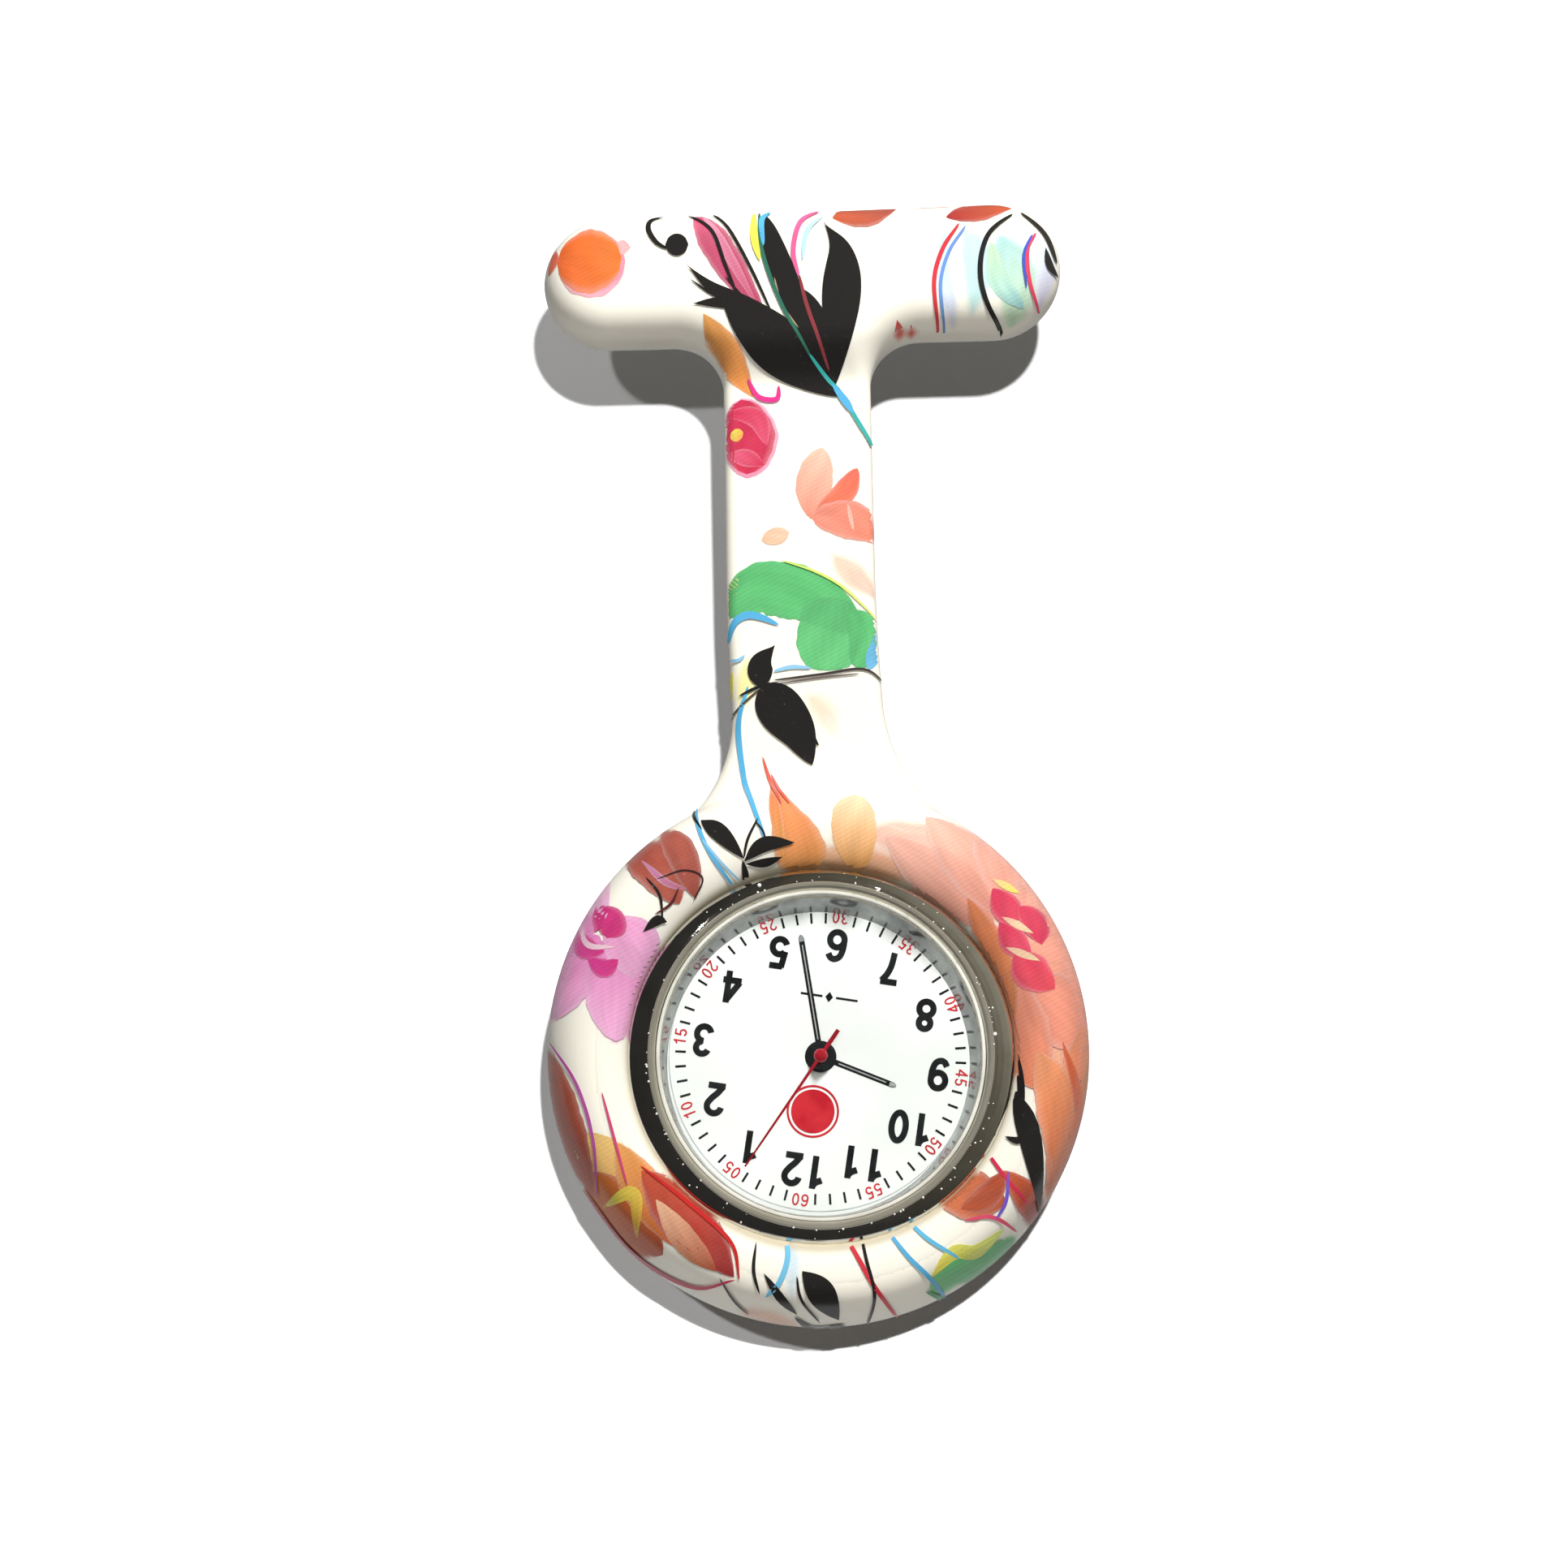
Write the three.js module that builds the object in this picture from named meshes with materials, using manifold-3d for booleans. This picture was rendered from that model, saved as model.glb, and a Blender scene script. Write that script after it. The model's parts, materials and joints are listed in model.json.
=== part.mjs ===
// Silicone fob watch: a T-bar, strap and ring moulded in one, a brooch pin behind the T-bar, and a
// round quartz watch head that hangs upside down in the ring.
// Millimetres. +Z up along the strap, +X to the right as the dial is read, +Y into the garment.
// The origin is the middle of the pin plate's back face, where the watch lies on the cloth.
import * as THREE from 'three';
import { mergeVertices } from 'three/addons/utils/BufferGeometryUtils.js';
import Module from 'manifold-3d';

const wasm = await Module();
wasm.setup();

// ---- Driving dimensions -------------------------------------------------------------------------

const BAR_LENGTH = 40;            // T-bar, end to end
const BAR_HEIGHT = 11;
const BAR_FRONT = -6.6;           // crest of the T-bar
const BAR_BACK = -0.5;
const BAR_ROUNDING = 2.2;
const STRAP_WIDTH = 11.4;
const STRAP_FRONT = -5;
const STRAP_BACK = -2;
const STRAP_ROUNDING = 0.8;
const TOP_FILLET = 4;             // between T-bar and strap
const RING_FILLET = 12;           // between strap and ring
const FLEX_Z = -21;               // line across the strap where it bends
const FLEX_GAP = 0.3;

const RING_Z = -60.5;             // centre of the ring and of the watch head
const RING_RADIUS = 20;
const RING_FRONT = -9;            // crest of the domed ring
const RING_BACK = -0.6;
const BORE_RADIUS = 14.8;         // seat of the watch case
const LIP_RADIUS = 13.5;          // front lip that holds the case in
const LIP_BACK = -7.4;

const DIAL_TURN = 9.3;            // degrees that the head sits round from straight, clockwise
const CASE_RADIUS = 14.5;
const CASE_BORE = 13.3;
const CASE_BACK_EDGE = -1.3;
const CASE_SHOULDER = -7.1;       // step that bears on the ring's lip
const BEZEL_RADIUS = 13.2;
const BEZEL_CREST = -8.85;
const BEZEL_INNER = 11.85;
const CRYSTAL_RADIUS = 11.5;
const CRYSTAL_FRONT = -8.45;
const CRYSTAL_BACK = -7.3;
const DIAL_RADIUS = 12.4;
const DIAL_OPENING = 11.1;        // radius of the dial that shows inside the rehaut
const DIAL_FRONT = -5.2;
const DIAL_BACK = -4.85;

const HOUR_HAND = { length: 5.85, width: 0.42, front: -5.75, angle: 283.2 };
const MINUTE_HAND = { length: 8.95, width: 0.42, front: -6.15, angle: 162.4 };
const SECOND_HAND = { length: 9.6, width: 0.2, tail: 2.25, front: -6.6, angle: 26.2 };
const HAND_THICKNESS = 0.15;

const MOVEMENT_RADIUS = 9.7;
const PLATE_FRONT = -4.7;         // main plate, dial side
const PLATE_BACK = -3.7;
const BRIDGE_FRONT = -1.85;
const BRIDGE_BACK = -1.55;
const STEM_Y = -4.2;              // plane of the winding stem
const STEM_RADIUS = 0.4;
const CROWN_RADIUS = 2;
const CROWN_TRAVEL = 1;

const NEEDLE_Y = 2.3;             // needle's axis behind the plate
const NEEDLE_RADIUS = 0.45;
const PIN_HINGE_X = -13.2;
const CATCH_X = 13;

// Places in the movement are (u, w): u towards 3 o'clock, w towards 12.
const TOOTH = 0.1;                // half of a tooth's height
const TRAIN_DISTANCE = 2.2;       // centre arbor to third arbor
const MOTION_DISTANCE = 2.2;      // centre arbor to minute wheel post
const THIRD = polar(TRAIN_DISTANCE, 100);
const SECOND_WHEEL_RADIUS = 1.9;
const INTERMEDIATE_PINION_RADIUS = SECOND_WHEEL_RADIUS / 6;
const INTERMEDIATE_DISTANCE = SECOND_WHEEL_RADIUS + INTERMEDIATE_PINION_RADIUS;
const INTERMEDIATE_RADIUS = 1.4;
const ROTOR_PINION_RADIUS = INTERMEDIATE_RADIUS / 5;
const ROTOR_LINE = -60;           // direction of the intermediate wheel and rotor from the centre
const INTERMEDIATE = polar(INTERMEDIATE_DISTANCE, ROTOR_LINE);
const ROTOR = polar(INTERMEDIATE_DISTANCE + INTERMEDIATE_RADIUS + ROTOR_PINION_RADIUS, ROTOR_LINE);
const MINUTE_WHEEL = polar(MOTION_DISTANCE, 225);
const BATTERY = { u: -5.4, w: -2.4, radius: 3.4, front: -4, back: -1.85 };
const BRIDGE_PILLARS = [[-2.4, 4.5], [3.6, 3.4], [3.2, -0.9]];
const CLAMP_POST = [-4.6, 3.2];
const COIL = { w: -7.3, y: -2.45, left: -0.9, right: 4.1, radius: 0.95 };
const STATOR_LEGS = [[-2.5, -1.5], [4.3, 5.5]];
const PIVOT_CLEARANCE = 0.08;
const SCREW_SHANK = 0.28;
const SCREW_HOLE = 0.4;

// ---- Materials ----------------------------------------------------------------------------------

const material = (color, roughness, metalness = 0) =>
  new THREE.MeshStandardMaterial({ color, roughness, metalness });

const silicone = material(0xf3ead6, 0.35);
const polishedSteel = material(0xd8d8da, 0.15, 1);
const brushedSteel = material(0xb9bbbd, 0.35, 1);
const brass = material(0xcaa75a, 0.3, 1);
const copper = material(0xb0673a, 0.4, 1);
const whitePaint = material(0xf6f6f2, 0.5);
const greyPlastic = material(0xa9acae, 0.45);
const whitePlastic = material(0xeeeee8, 0.5);
const blackPlastic = material(0x18181a, 0.4);
const blackPaint = material(0x101012, 0.35);
const redPaint = material(0xc4202c, 0.4);
const greenBoard = material(0x2f6b45, 0.5);
const sealRubber = material(0x202022, 0.6);
const glass = new THREE.MeshStandardMaterial({
  color: 0xeaf4f2, roughness: 0.05, transparent: true, opacity: 0.3,
});

// ---- Solids -------------------------------------------------------------------------------------

function polar(radius, degrees) {
  const angle = THREE.MathUtils.degToRad(degrees);
  return [radius * Math.cos(angle), radius * Math.sin(angle)];
}

// Six times the volume that a triangle mesh encloses; negative when it is inside out.
function signedVolume(points, triangles) {
  const [a, b, c] = [new THREE.Vector3(), new THREE.Vector3(), new THREE.Vector3()];
  let sum = 0;
  for (let i = 0; i < triangles.length; i += 3) {
    a.fromArray(points, 3 * triangles[i]);
    b.fromArray(points, 3 * triangles[i + 1]);
    c.fromArray(points, 3 * triangles[i + 2]);
    sum += a.dot(b.cross(c));
  }
  return sum;
}

// A closed geometry as a solid whose faces point out.
function solidOf(geometry) {
  const bare = geometry.clone();
  bare.deleteAttribute('normal');
  bare.deleteAttribute('uv');
  const merged = mergeVertices(bare, 1e-4);
  const points = merged.attributes.position.array;
  const corners = merged.index.array;
  const triangles = [];
  for (let i = 0; i < corners.length; i += 3) {
    const [a, b, c] = corners.slice(i, i + 3);
    if (a !== b && b !== c && c !== a) {
      triangles.push(a, b, c);
    }
  }
  if (signedVolume(points, triangles) < 0) {
    triangles.reverse();
  }
  return new wasm.Manifold(new wasm.Mesh({
    numProp: 3,
    vertProperties: points,
    triVerts: new Uint32Array(triangles),
  }));
}

function geometryOf(solid) {
  const mesh = solid.getMesh();
  const geometry = new THREE.BufferGeometry();
  geometry.setAttribute('position', new THREE.BufferAttribute(mesh.vertProperties, 3));
  geometry.setIndex(new THREE.BufferAttribute(mesh.triVerts, 1));
  geometry.computeVertexNormals();
  return geometry;
}

const join = (first, ...others) => others.reduce((sum, other) => sum.add(other), first);
const cut = (first, ...others) => others.reduce((rest, other) => rest.subtract(other), first);

// A shape drawn in (x, z), thickened from yFront to yBack, with rounded edges if asked.
function plate(shape, yFront, yBack, rounding = 0, curveSegments = 8) {
  const geometry = new THREE.ExtrudeGeometry(shape, {
    depth: yBack - yFront - 2 * rounding,
    curveSegments,
    bevelEnabled: rounding > 0,
    bevelThickness: rounding,
    bevelSize: rounding,
    bevelOffset: -rounding,
    bevelSegments: 4,
  });
  geometry.rotateX(Math.PI / 2);
  geometry.translate(0, yBack - rounding, 0);
  return solidOf(geometry);
}

// A profile of [radius, y] points turned about Y, moved to (x, z).
function turned(profile, segments = 24, [x, z] = [0, 0]) {
  const points = profile.map(([radius, y]) => new THREE.Vector2(radius, y));
  const geometry = new THREE.LatheGeometry(points, segments);
  geometry.translate(x, 0, z);
  return solidOf(geometry);
}

// A closed profile, so that the solid is a ring.
function turnedRing(profile, segments = 40) {
  return turned([...profile, profile[0]], segments);
}

// A round pin along Y.
function pin(radius, yFront, yBack, place = [0, 0], segments = 12) {
  return turned([[0, yFront], [radius, yFront], [radius, yBack], [0, yBack]], segments, place);
}

// A profile of [radius, x] points turned about X, moved to (y, z).
function turnedAlongX(profile, y, z, segments = 16) {
  const points = profile.map(([radius, x]) => new THREE.Vector2(radius, x));
  const geometry = new THREE.LatheGeometry(points, segments);
  geometry.rotateZ(-Math.PI / 2);
  geometry.translate(0, y, z);
  return solidOf(geometry);
}

function block([x0, x1], [y0, y1], [z0, z1]) {
  const geometry = new THREE.BoxGeometry(x1 - x0, y1 - y0, z1 - z0);
  geometry.translate((x0 + x1) / 2, (y0 + y1) / 2, (z0 + z1) / 2);
  return solidOf(geometry);
}

function outline(corners) {
  return new THREE.Shape(corners.map(([x, z]) => new THREE.Vector2(x, z)));
}

// A toothed wheel from yFront to yBack, with one tooth centred on the phase angle.
function gear(teeth, pitchRadius, phase, yFront, yBack, [u, w] = [0, 0]) {
  const step = 360 / teeth;
  const corners = [];
  for (let i = 0; i < teeth; i += 1) {
    const centre = phase + i * step;
    for (const [part, height] of [[-0.5, -TOOTH], [0, TOOTH]]) {
      const [x, z] = polar(pitchRadius + height, centre + part * step);
      corners.push([u + x, w + z]);
    }
  }
  return plate(outline(corners), yFront, yBack);
}

// The phase that puts a gap of a gear opposite a tooth that points at it from the given side.
const gapTowards = (degrees, teeth) => degrees + 180 / teeth;

function piece(parent, name, look, solid) {
  const mesh = new THREE.Mesh(geometryOf(solid), look);
  mesh.name = name;
  parent.add(mesh);
  return mesh;
}

// ---- Silicone holder ----------------------------------------------------------------------------

// Quarter of an ellipse as [radius, y] points, from its front crest or back to its widest point.
function quarter(centreRadius, centreY, width, height, count) {
  return Array.from({ length: count + 1 }, (_, i) => {
    const angle = (Math.PI / 2) * (i / count);
    return [centreRadius + width * Math.sin(angle), centreY + height * Math.cos(angle)];
  });
}

function barBody() {
  const end = BAR_HEIGHT / 2;
  const straight = BAR_LENGTH / 2 - end;
  const shape = new THREE.Shape();
  shape.absarc(straight, 0, end, -Math.PI / 2, Math.PI / 2);
  shape.absarc(-straight, 0, end, Math.PI / 2, 3 * Math.PI / 2);
  return plate(shape, BAR_FRONT, BAR_BACK, BAR_ROUNDING, 6);
}

function upperStrap() {
  const half = STRAP_WIDTH / 2;
  const root = -BAR_HEIGHT / 2;
  const end = FLEX_Z + (STRAP_FRONT - STRAP_BACK) / -2 + FLEX_GAP;
  const shape = new THREE.Shape();
  shape.moveTo(half + TOP_FILLET, root + 2.5);
  shape.lineTo(-half - TOP_FILLET, root + 2.5);
  shape.lineTo(-half - TOP_FILLET, root);
  shape.absarc(-half - TOP_FILLET, root - TOP_FILLET, TOP_FILLET, Math.PI / 2, 0, true);
  shape.lineTo(-half, end);
  shape.lineTo(half, end);
  shape.absarc(half + TOP_FILLET, root - TOP_FILLET, TOP_FILLET, Math.PI, Math.PI / 2, true);
  return plate(shape, STRAP_FRONT, STRAP_BACK, STRAP_ROUNDING, 4);
}

function holderTop() {
  const recess = block([-16, 16], [-1.1, 0.5], [-3.05, 3.05]);
  return cut(join(barBody(), upperStrap()), recess);
}

function ringBody() {
  const widest = -4.4;
  const backRounding = 1.6;
  const front = quarter(16.2, widest, RING_RADIUS - 16.2, RING_FRONT - widest, 5);
  const back = quarter(
    RING_RADIUS - backRounding, RING_BACK - backRounding, backRounding, backRounding, 2,
  ).reverse();
  return turnedRing([
    [BORE_RADIUS, RING_BACK],
    [BORE_RADIUS, LIP_BACK],
    [LIP_RADIUS, LIP_BACK],
    [LIP_RADIUS, -8.2],
    [14.2, -8.7],
    ...front,
    ...back,
  ], 44);
}

// The strap below the bend, with its fillets down to the ring. z is measured from the ring's centre.
function lowerStrap() {
  const half = STRAP_WIDTH / 2;
  const filletX = half + RING_FILLET;
  const filletZ = Math.sqrt((RING_RADIUS + RING_FILLET) ** 2 - filletX ** 2);
  const meet = Math.atan2(filletZ, filletX);
  const top = FLEX_Z - RING_Z;
  const inner = BORE_RADIUS + 1;
  const shape = new THREE.Shape();
  shape.moveTo(half, top);
  shape.lineTo(-half, top);
  shape.absarc(-filletX, filletZ, RING_FILLET, 0, -meet, true);
  shape.absarc(0, 0, inner, Math.PI - meet, meet, true);
  shape.absarc(filletX, filletZ, RING_FILLET, Math.PI + meet, Math.PI, true);
  const bend = (STRAP_BACK - STRAP_FRONT) / 2;
  const knuckle = turnedAlongX(
    [[0, -half], [bend, -half], [bend, half], [0, half]], STRAP_FRONT + bend, top, 20,
  );
  return join(plate(shape, STRAP_FRONT, STRAP_BACK, STRAP_ROUNDING, 6), knuckle);
}

// Pocket in the ring's bore for the crown, open to the back so that the head can come out.
function crownPocket() {
  const reach = CASE_RADIUS + 0.3 + 1.7 + CROWN_TRAVEL + 0.5;
  const turn = THREE.MathUtils.degToRad(DIAL_TURN);
  const box = new THREE.BoxGeometry(reach - 12, 8, 2 * CROWN_RADIUS + 1);
  box.translate(-(reach + 12) / 2, STEM_Y - CROWN_RADIUS - 0.5 + 4, 0);
  box.rotateY(turn);
  return solidOf(box);
}

function holderRing() {
  const body = cut(join(ringBody(), lowerStrap()), crownPocket());
  const geometry = geometryOf(body);
  geometry.translate(0, 0, RING_Z);
  return solidOf(geometry);
}

// ---- Brooch pin ---------------------------------------------------------------------------------

const NEEDLE_EYE = 1;
const RIVET_RADIUS = 0.3;

// Ring sector round the needle's axis, open towards +Y, from x0 to x1.
function cradle(inner, outer, openHalfAngle, [x0, x1]) {
  const start = THREE.MathUtils.degToRad(openHalfAngle);
  const shape = new THREE.Shape();
  shape.absarc(0, 0, outer, start, 2 * Math.PI - start, false);
  shape.absarc(0, 0, inner, 2 * Math.PI - start, start, true);
  const geometry = new THREE.ExtrudeGeometry(shape, {
    depth: x1 - x0, curveSegments: 8, bevelEnabled: false,
  });
  geometry.rotateZ(Math.PI / 2);
  geometry.rotateY(Math.PI / 2);
  geometry.translate(x0, NEEDLE_Y, 0);
  return solidOf(geometry);
}

function pinBasePlate() {
  const shape = new THREE.Shape();
  shape.absarc(12.9, 0, 2.6, -Math.PI / 2, Math.PI / 2);
  shape.absarc(-12.9, 0, 2.6, Math.PI / 2, 3 * Math.PI / 2);
  const ear = (side) => join(
    block([PIN_HINGE_X - 1, PIN_HINGE_X + 1], [-0.4, NEEDLE_Y], [side * 1 - 0.25, side * 1 + 0.25]),
    earTop(side),
  );
  const foot = (x0, x1) => block([x0, x1], [-0.4, NEEDLE_Y - 0.9], [-0.6, 0.6]);
  const body = join(
    plate(shape, -0.8, 0),
    ear(1),
    ear(-1),
    foot(CATCH_X - 1.8, CATCH_X - 0.95),
    foot(CATCH_X + 0.95, CATCH_X + 1.8),
    cradle(0.75, 1.25, 50, [CATCH_X - 1.8, CATCH_X + 1.8]),
  );
  return cut(body, rivetShank(RIVET_RADIUS + PIVOT_CLEARANCE));
}

function earTop(side) {
  const geometry = new THREE.CylinderGeometry(1, 1, 0.5, 16);
  geometry.rotateX(Math.PI / 2);
  geometry.translate(PIN_HINGE_X, NEEDLE_Y, side);
  return solidOf(geometry);
}

function zPin(radius, z0, z1) {
  const geometry = new THREE.CylinderGeometry(radius, radius, z1 - z0, 16);
  geometry.rotateX(Math.PI / 2);
  geometry.translate(PIN_HINGE_X, NEEDLE_Y, (z0 + z1) / 2);
  return solidOf(geometry);
}

const rivetShank = (radius) => zPin(radius, -1.6, 1.6);

function needleRivet() {
  return join(rivetShank(RIVET_RADIUS), zPin(0.6, 1.35, 1.65), zPin(0.6, -1.65, -1.35));
}

function needle() {
  const tip = CATCH_X + 2.6;
  const rod = turnedAlongX([
    [0, PIN_HINGE_X + 0.5],
    [NEEDLE_RADIUS, PIN_HINGE_X + 0.5],
    [NEEDLE_RADIUS, tip - 4],
    [NEEDLE_RADIUS * 0.6, tip - 1.5],
    [0, tip],
  ], NEEDLE_Y, 0, 12);
  const eye = zPin(NEEDLE_EYE, -0.45, 0.45);
  return cut(join(rod, eye), rivetShank(RIVET_RADIUS + PIVOT_CLEARANCE));
}

function safetyCatch() {
  const span = [CATCH_X - 0.75, CATCH_X + 0.75];
  const tab = block([CATCH_X - 0.4, CATCH_X + 0.4], [NEEDLE_Y - 0.25, NEEDLE_Y + 0.25], [1.6, 3]);
  return join(cradle(1.38, 1.8, 42, span), tab);
}

// ---- Watch case ---------------------------------------------------------------------------------

const stemHole = (radius, from, to) =>
  turnedAlongX([[0, from], [radius, from], [radius, to], [0, to]], STEM_Y, 0, 16);

function caseBody() {
  const seatY = CRYSTAL_BACK + 0.1;
  const ring = turnedRing([
    [CASE_BORE, CASE_BACK_EDGE],
    [CASE_RADIUS - 0.2, CASE_BACK_EDGE],
    [CASE_RADIUS, CASE_BACK_EDGE - 0.2],
    [CASE_RADIUS, CASE_SHOULDER],
    [BEZEL_RADIUS, CASE_SHOULDER],
    [BEZEL_RADIUS, -8.15],
    [12.95, -8.55],
    [12.5, BEZEL_CREST],
    [12.15, BEZEL_CREST],
    [BEZEL_INNER, -8.7],
    [BEZEL_INNER, seatY],
    [BEZEL_INNER - 0.4, seatY],
    [BEZEL_INNER - 0.4, seatY + 0.2],
    [12.3, seatY + 0.2],
    [12.3, -5.6],
    [CASE_BORE, -5.6],
  ]);
  return cut(ring, stemHole(STEM_RADIUS + 0.2, 12.5, 15.5));
}

function crystal() {
  return turned([
    [0, CRYSTAL_FRONT],
    [CRYSTAL_RADIUS - 0.2, CRYSTAL_FRONT],
    [CRYSTAL_RADIUS, CRYSTAL_FRONT + 0.2],
    [CRYSTAL_RADIUS, CRYSTAL_BACK],
    [0, CRYSTAL_BACK],
  ], 40);
}

function crystalGasket() {
  return turnedRing([
    [CRYSTAL_RADIUS + 0.04, CRYSTAL_BACK],
    [CRYSTAL_RADIUS + 0.04, -8.2],
    [BEZEL_INNER - 0.08, -8.2],
    [BEZEL_INNER - 0.08, CRYSTAL_BACK],
  ]);
}

function rehautRing() {
  return turnedRing([
    [BEZEL_INNER - 0.3, -6.9],
    [12.2, -6.9],
    [12.2, DIAL_FRONT - 0.05],
    [DIAL_OPENING, DIAL_FRONT - 0.05],
  ]);
}

function caseBack() {
  return turned([
    [0, -1],
    [12.1, -1],
    [12.1, -2.3],
    [12.65, -2.3],
    [12.65, -1],
    [14.1, -1],
    [14.1, -0.45],
    [13.6, -0.2],
    [0, -0.2],
  ], 40);
}

function caseBackGasket() {
  return turnedRing([[12.72, -2], [13.15, -2], [13.15, -1.5], [12.72, -1.5]], 36);
}

// ---- Dial and hands -----------------------------------------------------------------------------

function dial() {
  return turnedRing([
    [0.95, DIAL_FRONT],
    [DIAL_RADIUS, DIAL_FRONT],
    [DIAL_RADIUS, DIAL_BACK],
    [0.95, DIAL_BACK],
  ]);
}

// A flat baton from the hub outwards along its clock angle, with an optional tail.
function baton({ length, width, front, angle, tail = 0 }, hubRadius) {
  const turn = THREE.MathUtils.degToRad(angle);
  const geometry = new THREE.BoxGeometry(width, HAND_THICKNESS, length + tail);
  geometry.translate(0, front + HAND_THICKNESS / 2, (length - tail) / 2);
  geometry.rotateY(turn);
  return join(solidOf(geometry), pin(hubRadius, front, front + HAND_THICKNESS, [0, 0], 24));
}

function hourHand() {
  return cut(baton(HOUR_HAND, 1.15), pin(0.83, -8, -4));
}

function minuteHand() {
  return cut(baton(MINUTE_HAND, 0.97), pin(0.53, -8, -4));
}

function secondHand() {
  const back = SECOND_HAND.front + HAND_THICKNESS;
  const cap = turned([[0, -6.95], [0.35, -6.9], [0.53, -6.75], [0.53, back], [0, back]], 20);
  return cut(join(baton(SECOND_HAND, 0.45), cap), pin(0.17, -6.8, -5, [0, 0], 10));
}

// ---- Movement -----------------------------------------------------------------------------------

function movementRing() {
  const ring = turnedRing([
    [MOVEMENT_RADIUS + 0.2, PLATE_FRONT],
    [13, PLATE_FRONT],
    [13, -2.5],
    [MOVEMENT_RADIUS + 0.2, -2.5],
  ], 36);
  return cut(ring, block([9, 14], [-5, -3.4], [-0.9, 0.9]));
}

function mainPlate() {
  const floor = -4.1;
  const post = (place) => pin(0.7, PLATE_BACK - 0.3, BATTERY.back + 0.02, place);
  const disc = pin(MOVEMENT_RADIUS, PLATE_FRONT, PLATE_BACK, [0, 0], 40);
  const hole = (radius, place) => pin(radius, PLATE_FRONT - 1, BRIDGE_BACK, place, 12);
  const body = cut(
    join(disc, post(CLAMP_POST)),
    pin(2.1, PLATE_FRONT - 1, floor, [0, 0], 24),
    pin(1.95, PLATE_FRONT - 1, floor, MINUTE_WHEEL, 24),
    pin(BATTERY.radius + 0.2, BATTERY.front - 0.15, 0, [BATTERY.u, BATTERY.w], 32),
    block([4.1, MOVEMENT_RADIUS + 1], [PLATE_FRONT - 1, PLATE_BACK + 1], [-0.6, 0.6]),
    hole(0.65, [0, 0]),
    hole(0.2, THIRD),
    hole(0.2, INTERMEDIATE),
    hole(0.2, ROTOR),
    ...[...BRIDGE_PILLARS, CLAMP_POST].map((place) => hole(SCREW_HOLE, place)),
  );
  return join(body, pin(0.2, PLATE_FRONT + 0.1, floor + 0.1, MINUTE_WHEEL, 12));
}

function trainBridge() {
  const shape = outline([
    [-3.3, 5.3], [-3.3, 2.2], [-1.6, -0.6], [-1.2, -4.6], [4.2, -4.6], [4.2, 1.6], [4.6, 4.3],
    [3, 4.6], [0, 5.3],
  ]);
  const pillars = BRIDGE_PILLARS.map((place) => pin(0.65, PLATE_BACK + 0.05, BRIDGE_FRONT + 0.1, place));
  const screwHoles = BRIDGE_PILLARS.map((place) => pin(SCREW_HOLE, PLATE_BACK - 1, 0, place, 12));
  const pivots = [[0, 0], THIRD, INTERMEDIATE, ROTOR].map((place) => pin(0.2, -3, 0, place, 12));
  const body = join(plate(shape, BRIDGE_FRONT, BRIDGE_BACK), ...pillars);
  return cut(body, ...screwHoles, ...pivots);
}

// Slotted cheese-head screw with its head resting above seat.
function movementScrew([u, w], seat) {
  const body = turned([
    [0, PLATE_FRONT + 0.2],
    [SCREW_SHANK, PLATE_FRONT + 0.2],
    [SCREW_SHANK, seat],
    [0.55, seat],
    [0.55, seat + 0.3],
    [0, seat + 0.3],
  ], 12, [u, w]);
  return cut(body, block([u - 0.6, u + 0.6], [seat + 0.18, seat + 0.5], [w - 0.07, w + 0.07]));
}

function batteryCell() {
  return turned([
    [0, BATTERY.front],
    [2.9, BATTERY.front],
    [2.9, BATTERY.front + 0.25],
    [BATTERY.radius, BATTERY.front + 0.35],
    [BATTERY.radius, BATTERY.back - 0.1],
    [BATTERY.radius - 0.15, BATTERY.back],
    [0, BATTERY.back],
  ], 32, [BATTERY.u, BATTERY.w]);
}

function batteryClamp() {
  const [u, w] = CLAMP_POST;
  const shape = outline([
    [u - 0.9, w + 0.9], [u - 0.9, w - 0.9], [BATTERY.u - 0.9, BATTERY.w + 1],
    [BATTERY.u - 0.9, BATTERY.w - 1.2], [BATTERY.u + 0.7, BATTERY.w - 1.2],
    [BATTERY.u + 0.7, BATTERY.w + 1], [u + 0.9, w - 0.9], [u + 0.9, w + 0.9],
  ]);
  const front = BATTERY.back + 0.12;
  return cut(plate(shape, front, front + 0.2), pin(SCREW_HOLE, -3, 0, CLAMP_POST, 12));
}

function circuitBoard() {
  const board = block([4.7, 9.4], [-3.3, -3.1], [-1.5, 6.4]);
  return board.intersect(pin(MOVEMENT_RADIUS - 0.2, -4, 0, [0, 0], 40));
}

function chipCap() {
  return turned([
    [0, -3.05], [1.1, -3.05], [0.95, -2.75], [0.55, -2.55], [0, -2.5],
  ], 20, [6, 3.6]);
}

function quartzCan() {
  const geometry = new THREE.CylinderGeometry(0.72, 0.72, 5, 16);
  geometry.rotateX(Math.PI / 2);
  geometry.translate(7.9, -2.3, 1.3);
  return solidOf(geometry);
}

function stator() {
  const [[a0, a1], [b0, b1]] = STATOR_LEGS;
  const legEnd = COIL.w - 0.5;
  const body = plate(outline([
    [a1 + 0.3, -1.95], [a1 - 0.2, -4.6], [a0, -5.9], [a0, legEnd], [a1, legEnd], [a1 + 0.6, -5],
    [b0, -5], [b0, legEnd], [b1, legEnd], [b1, -1.95],
  ]), -3.15, -2.75);
  return cut(body, pin(1, -4, -2, ROTOR, 24));
}

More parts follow.
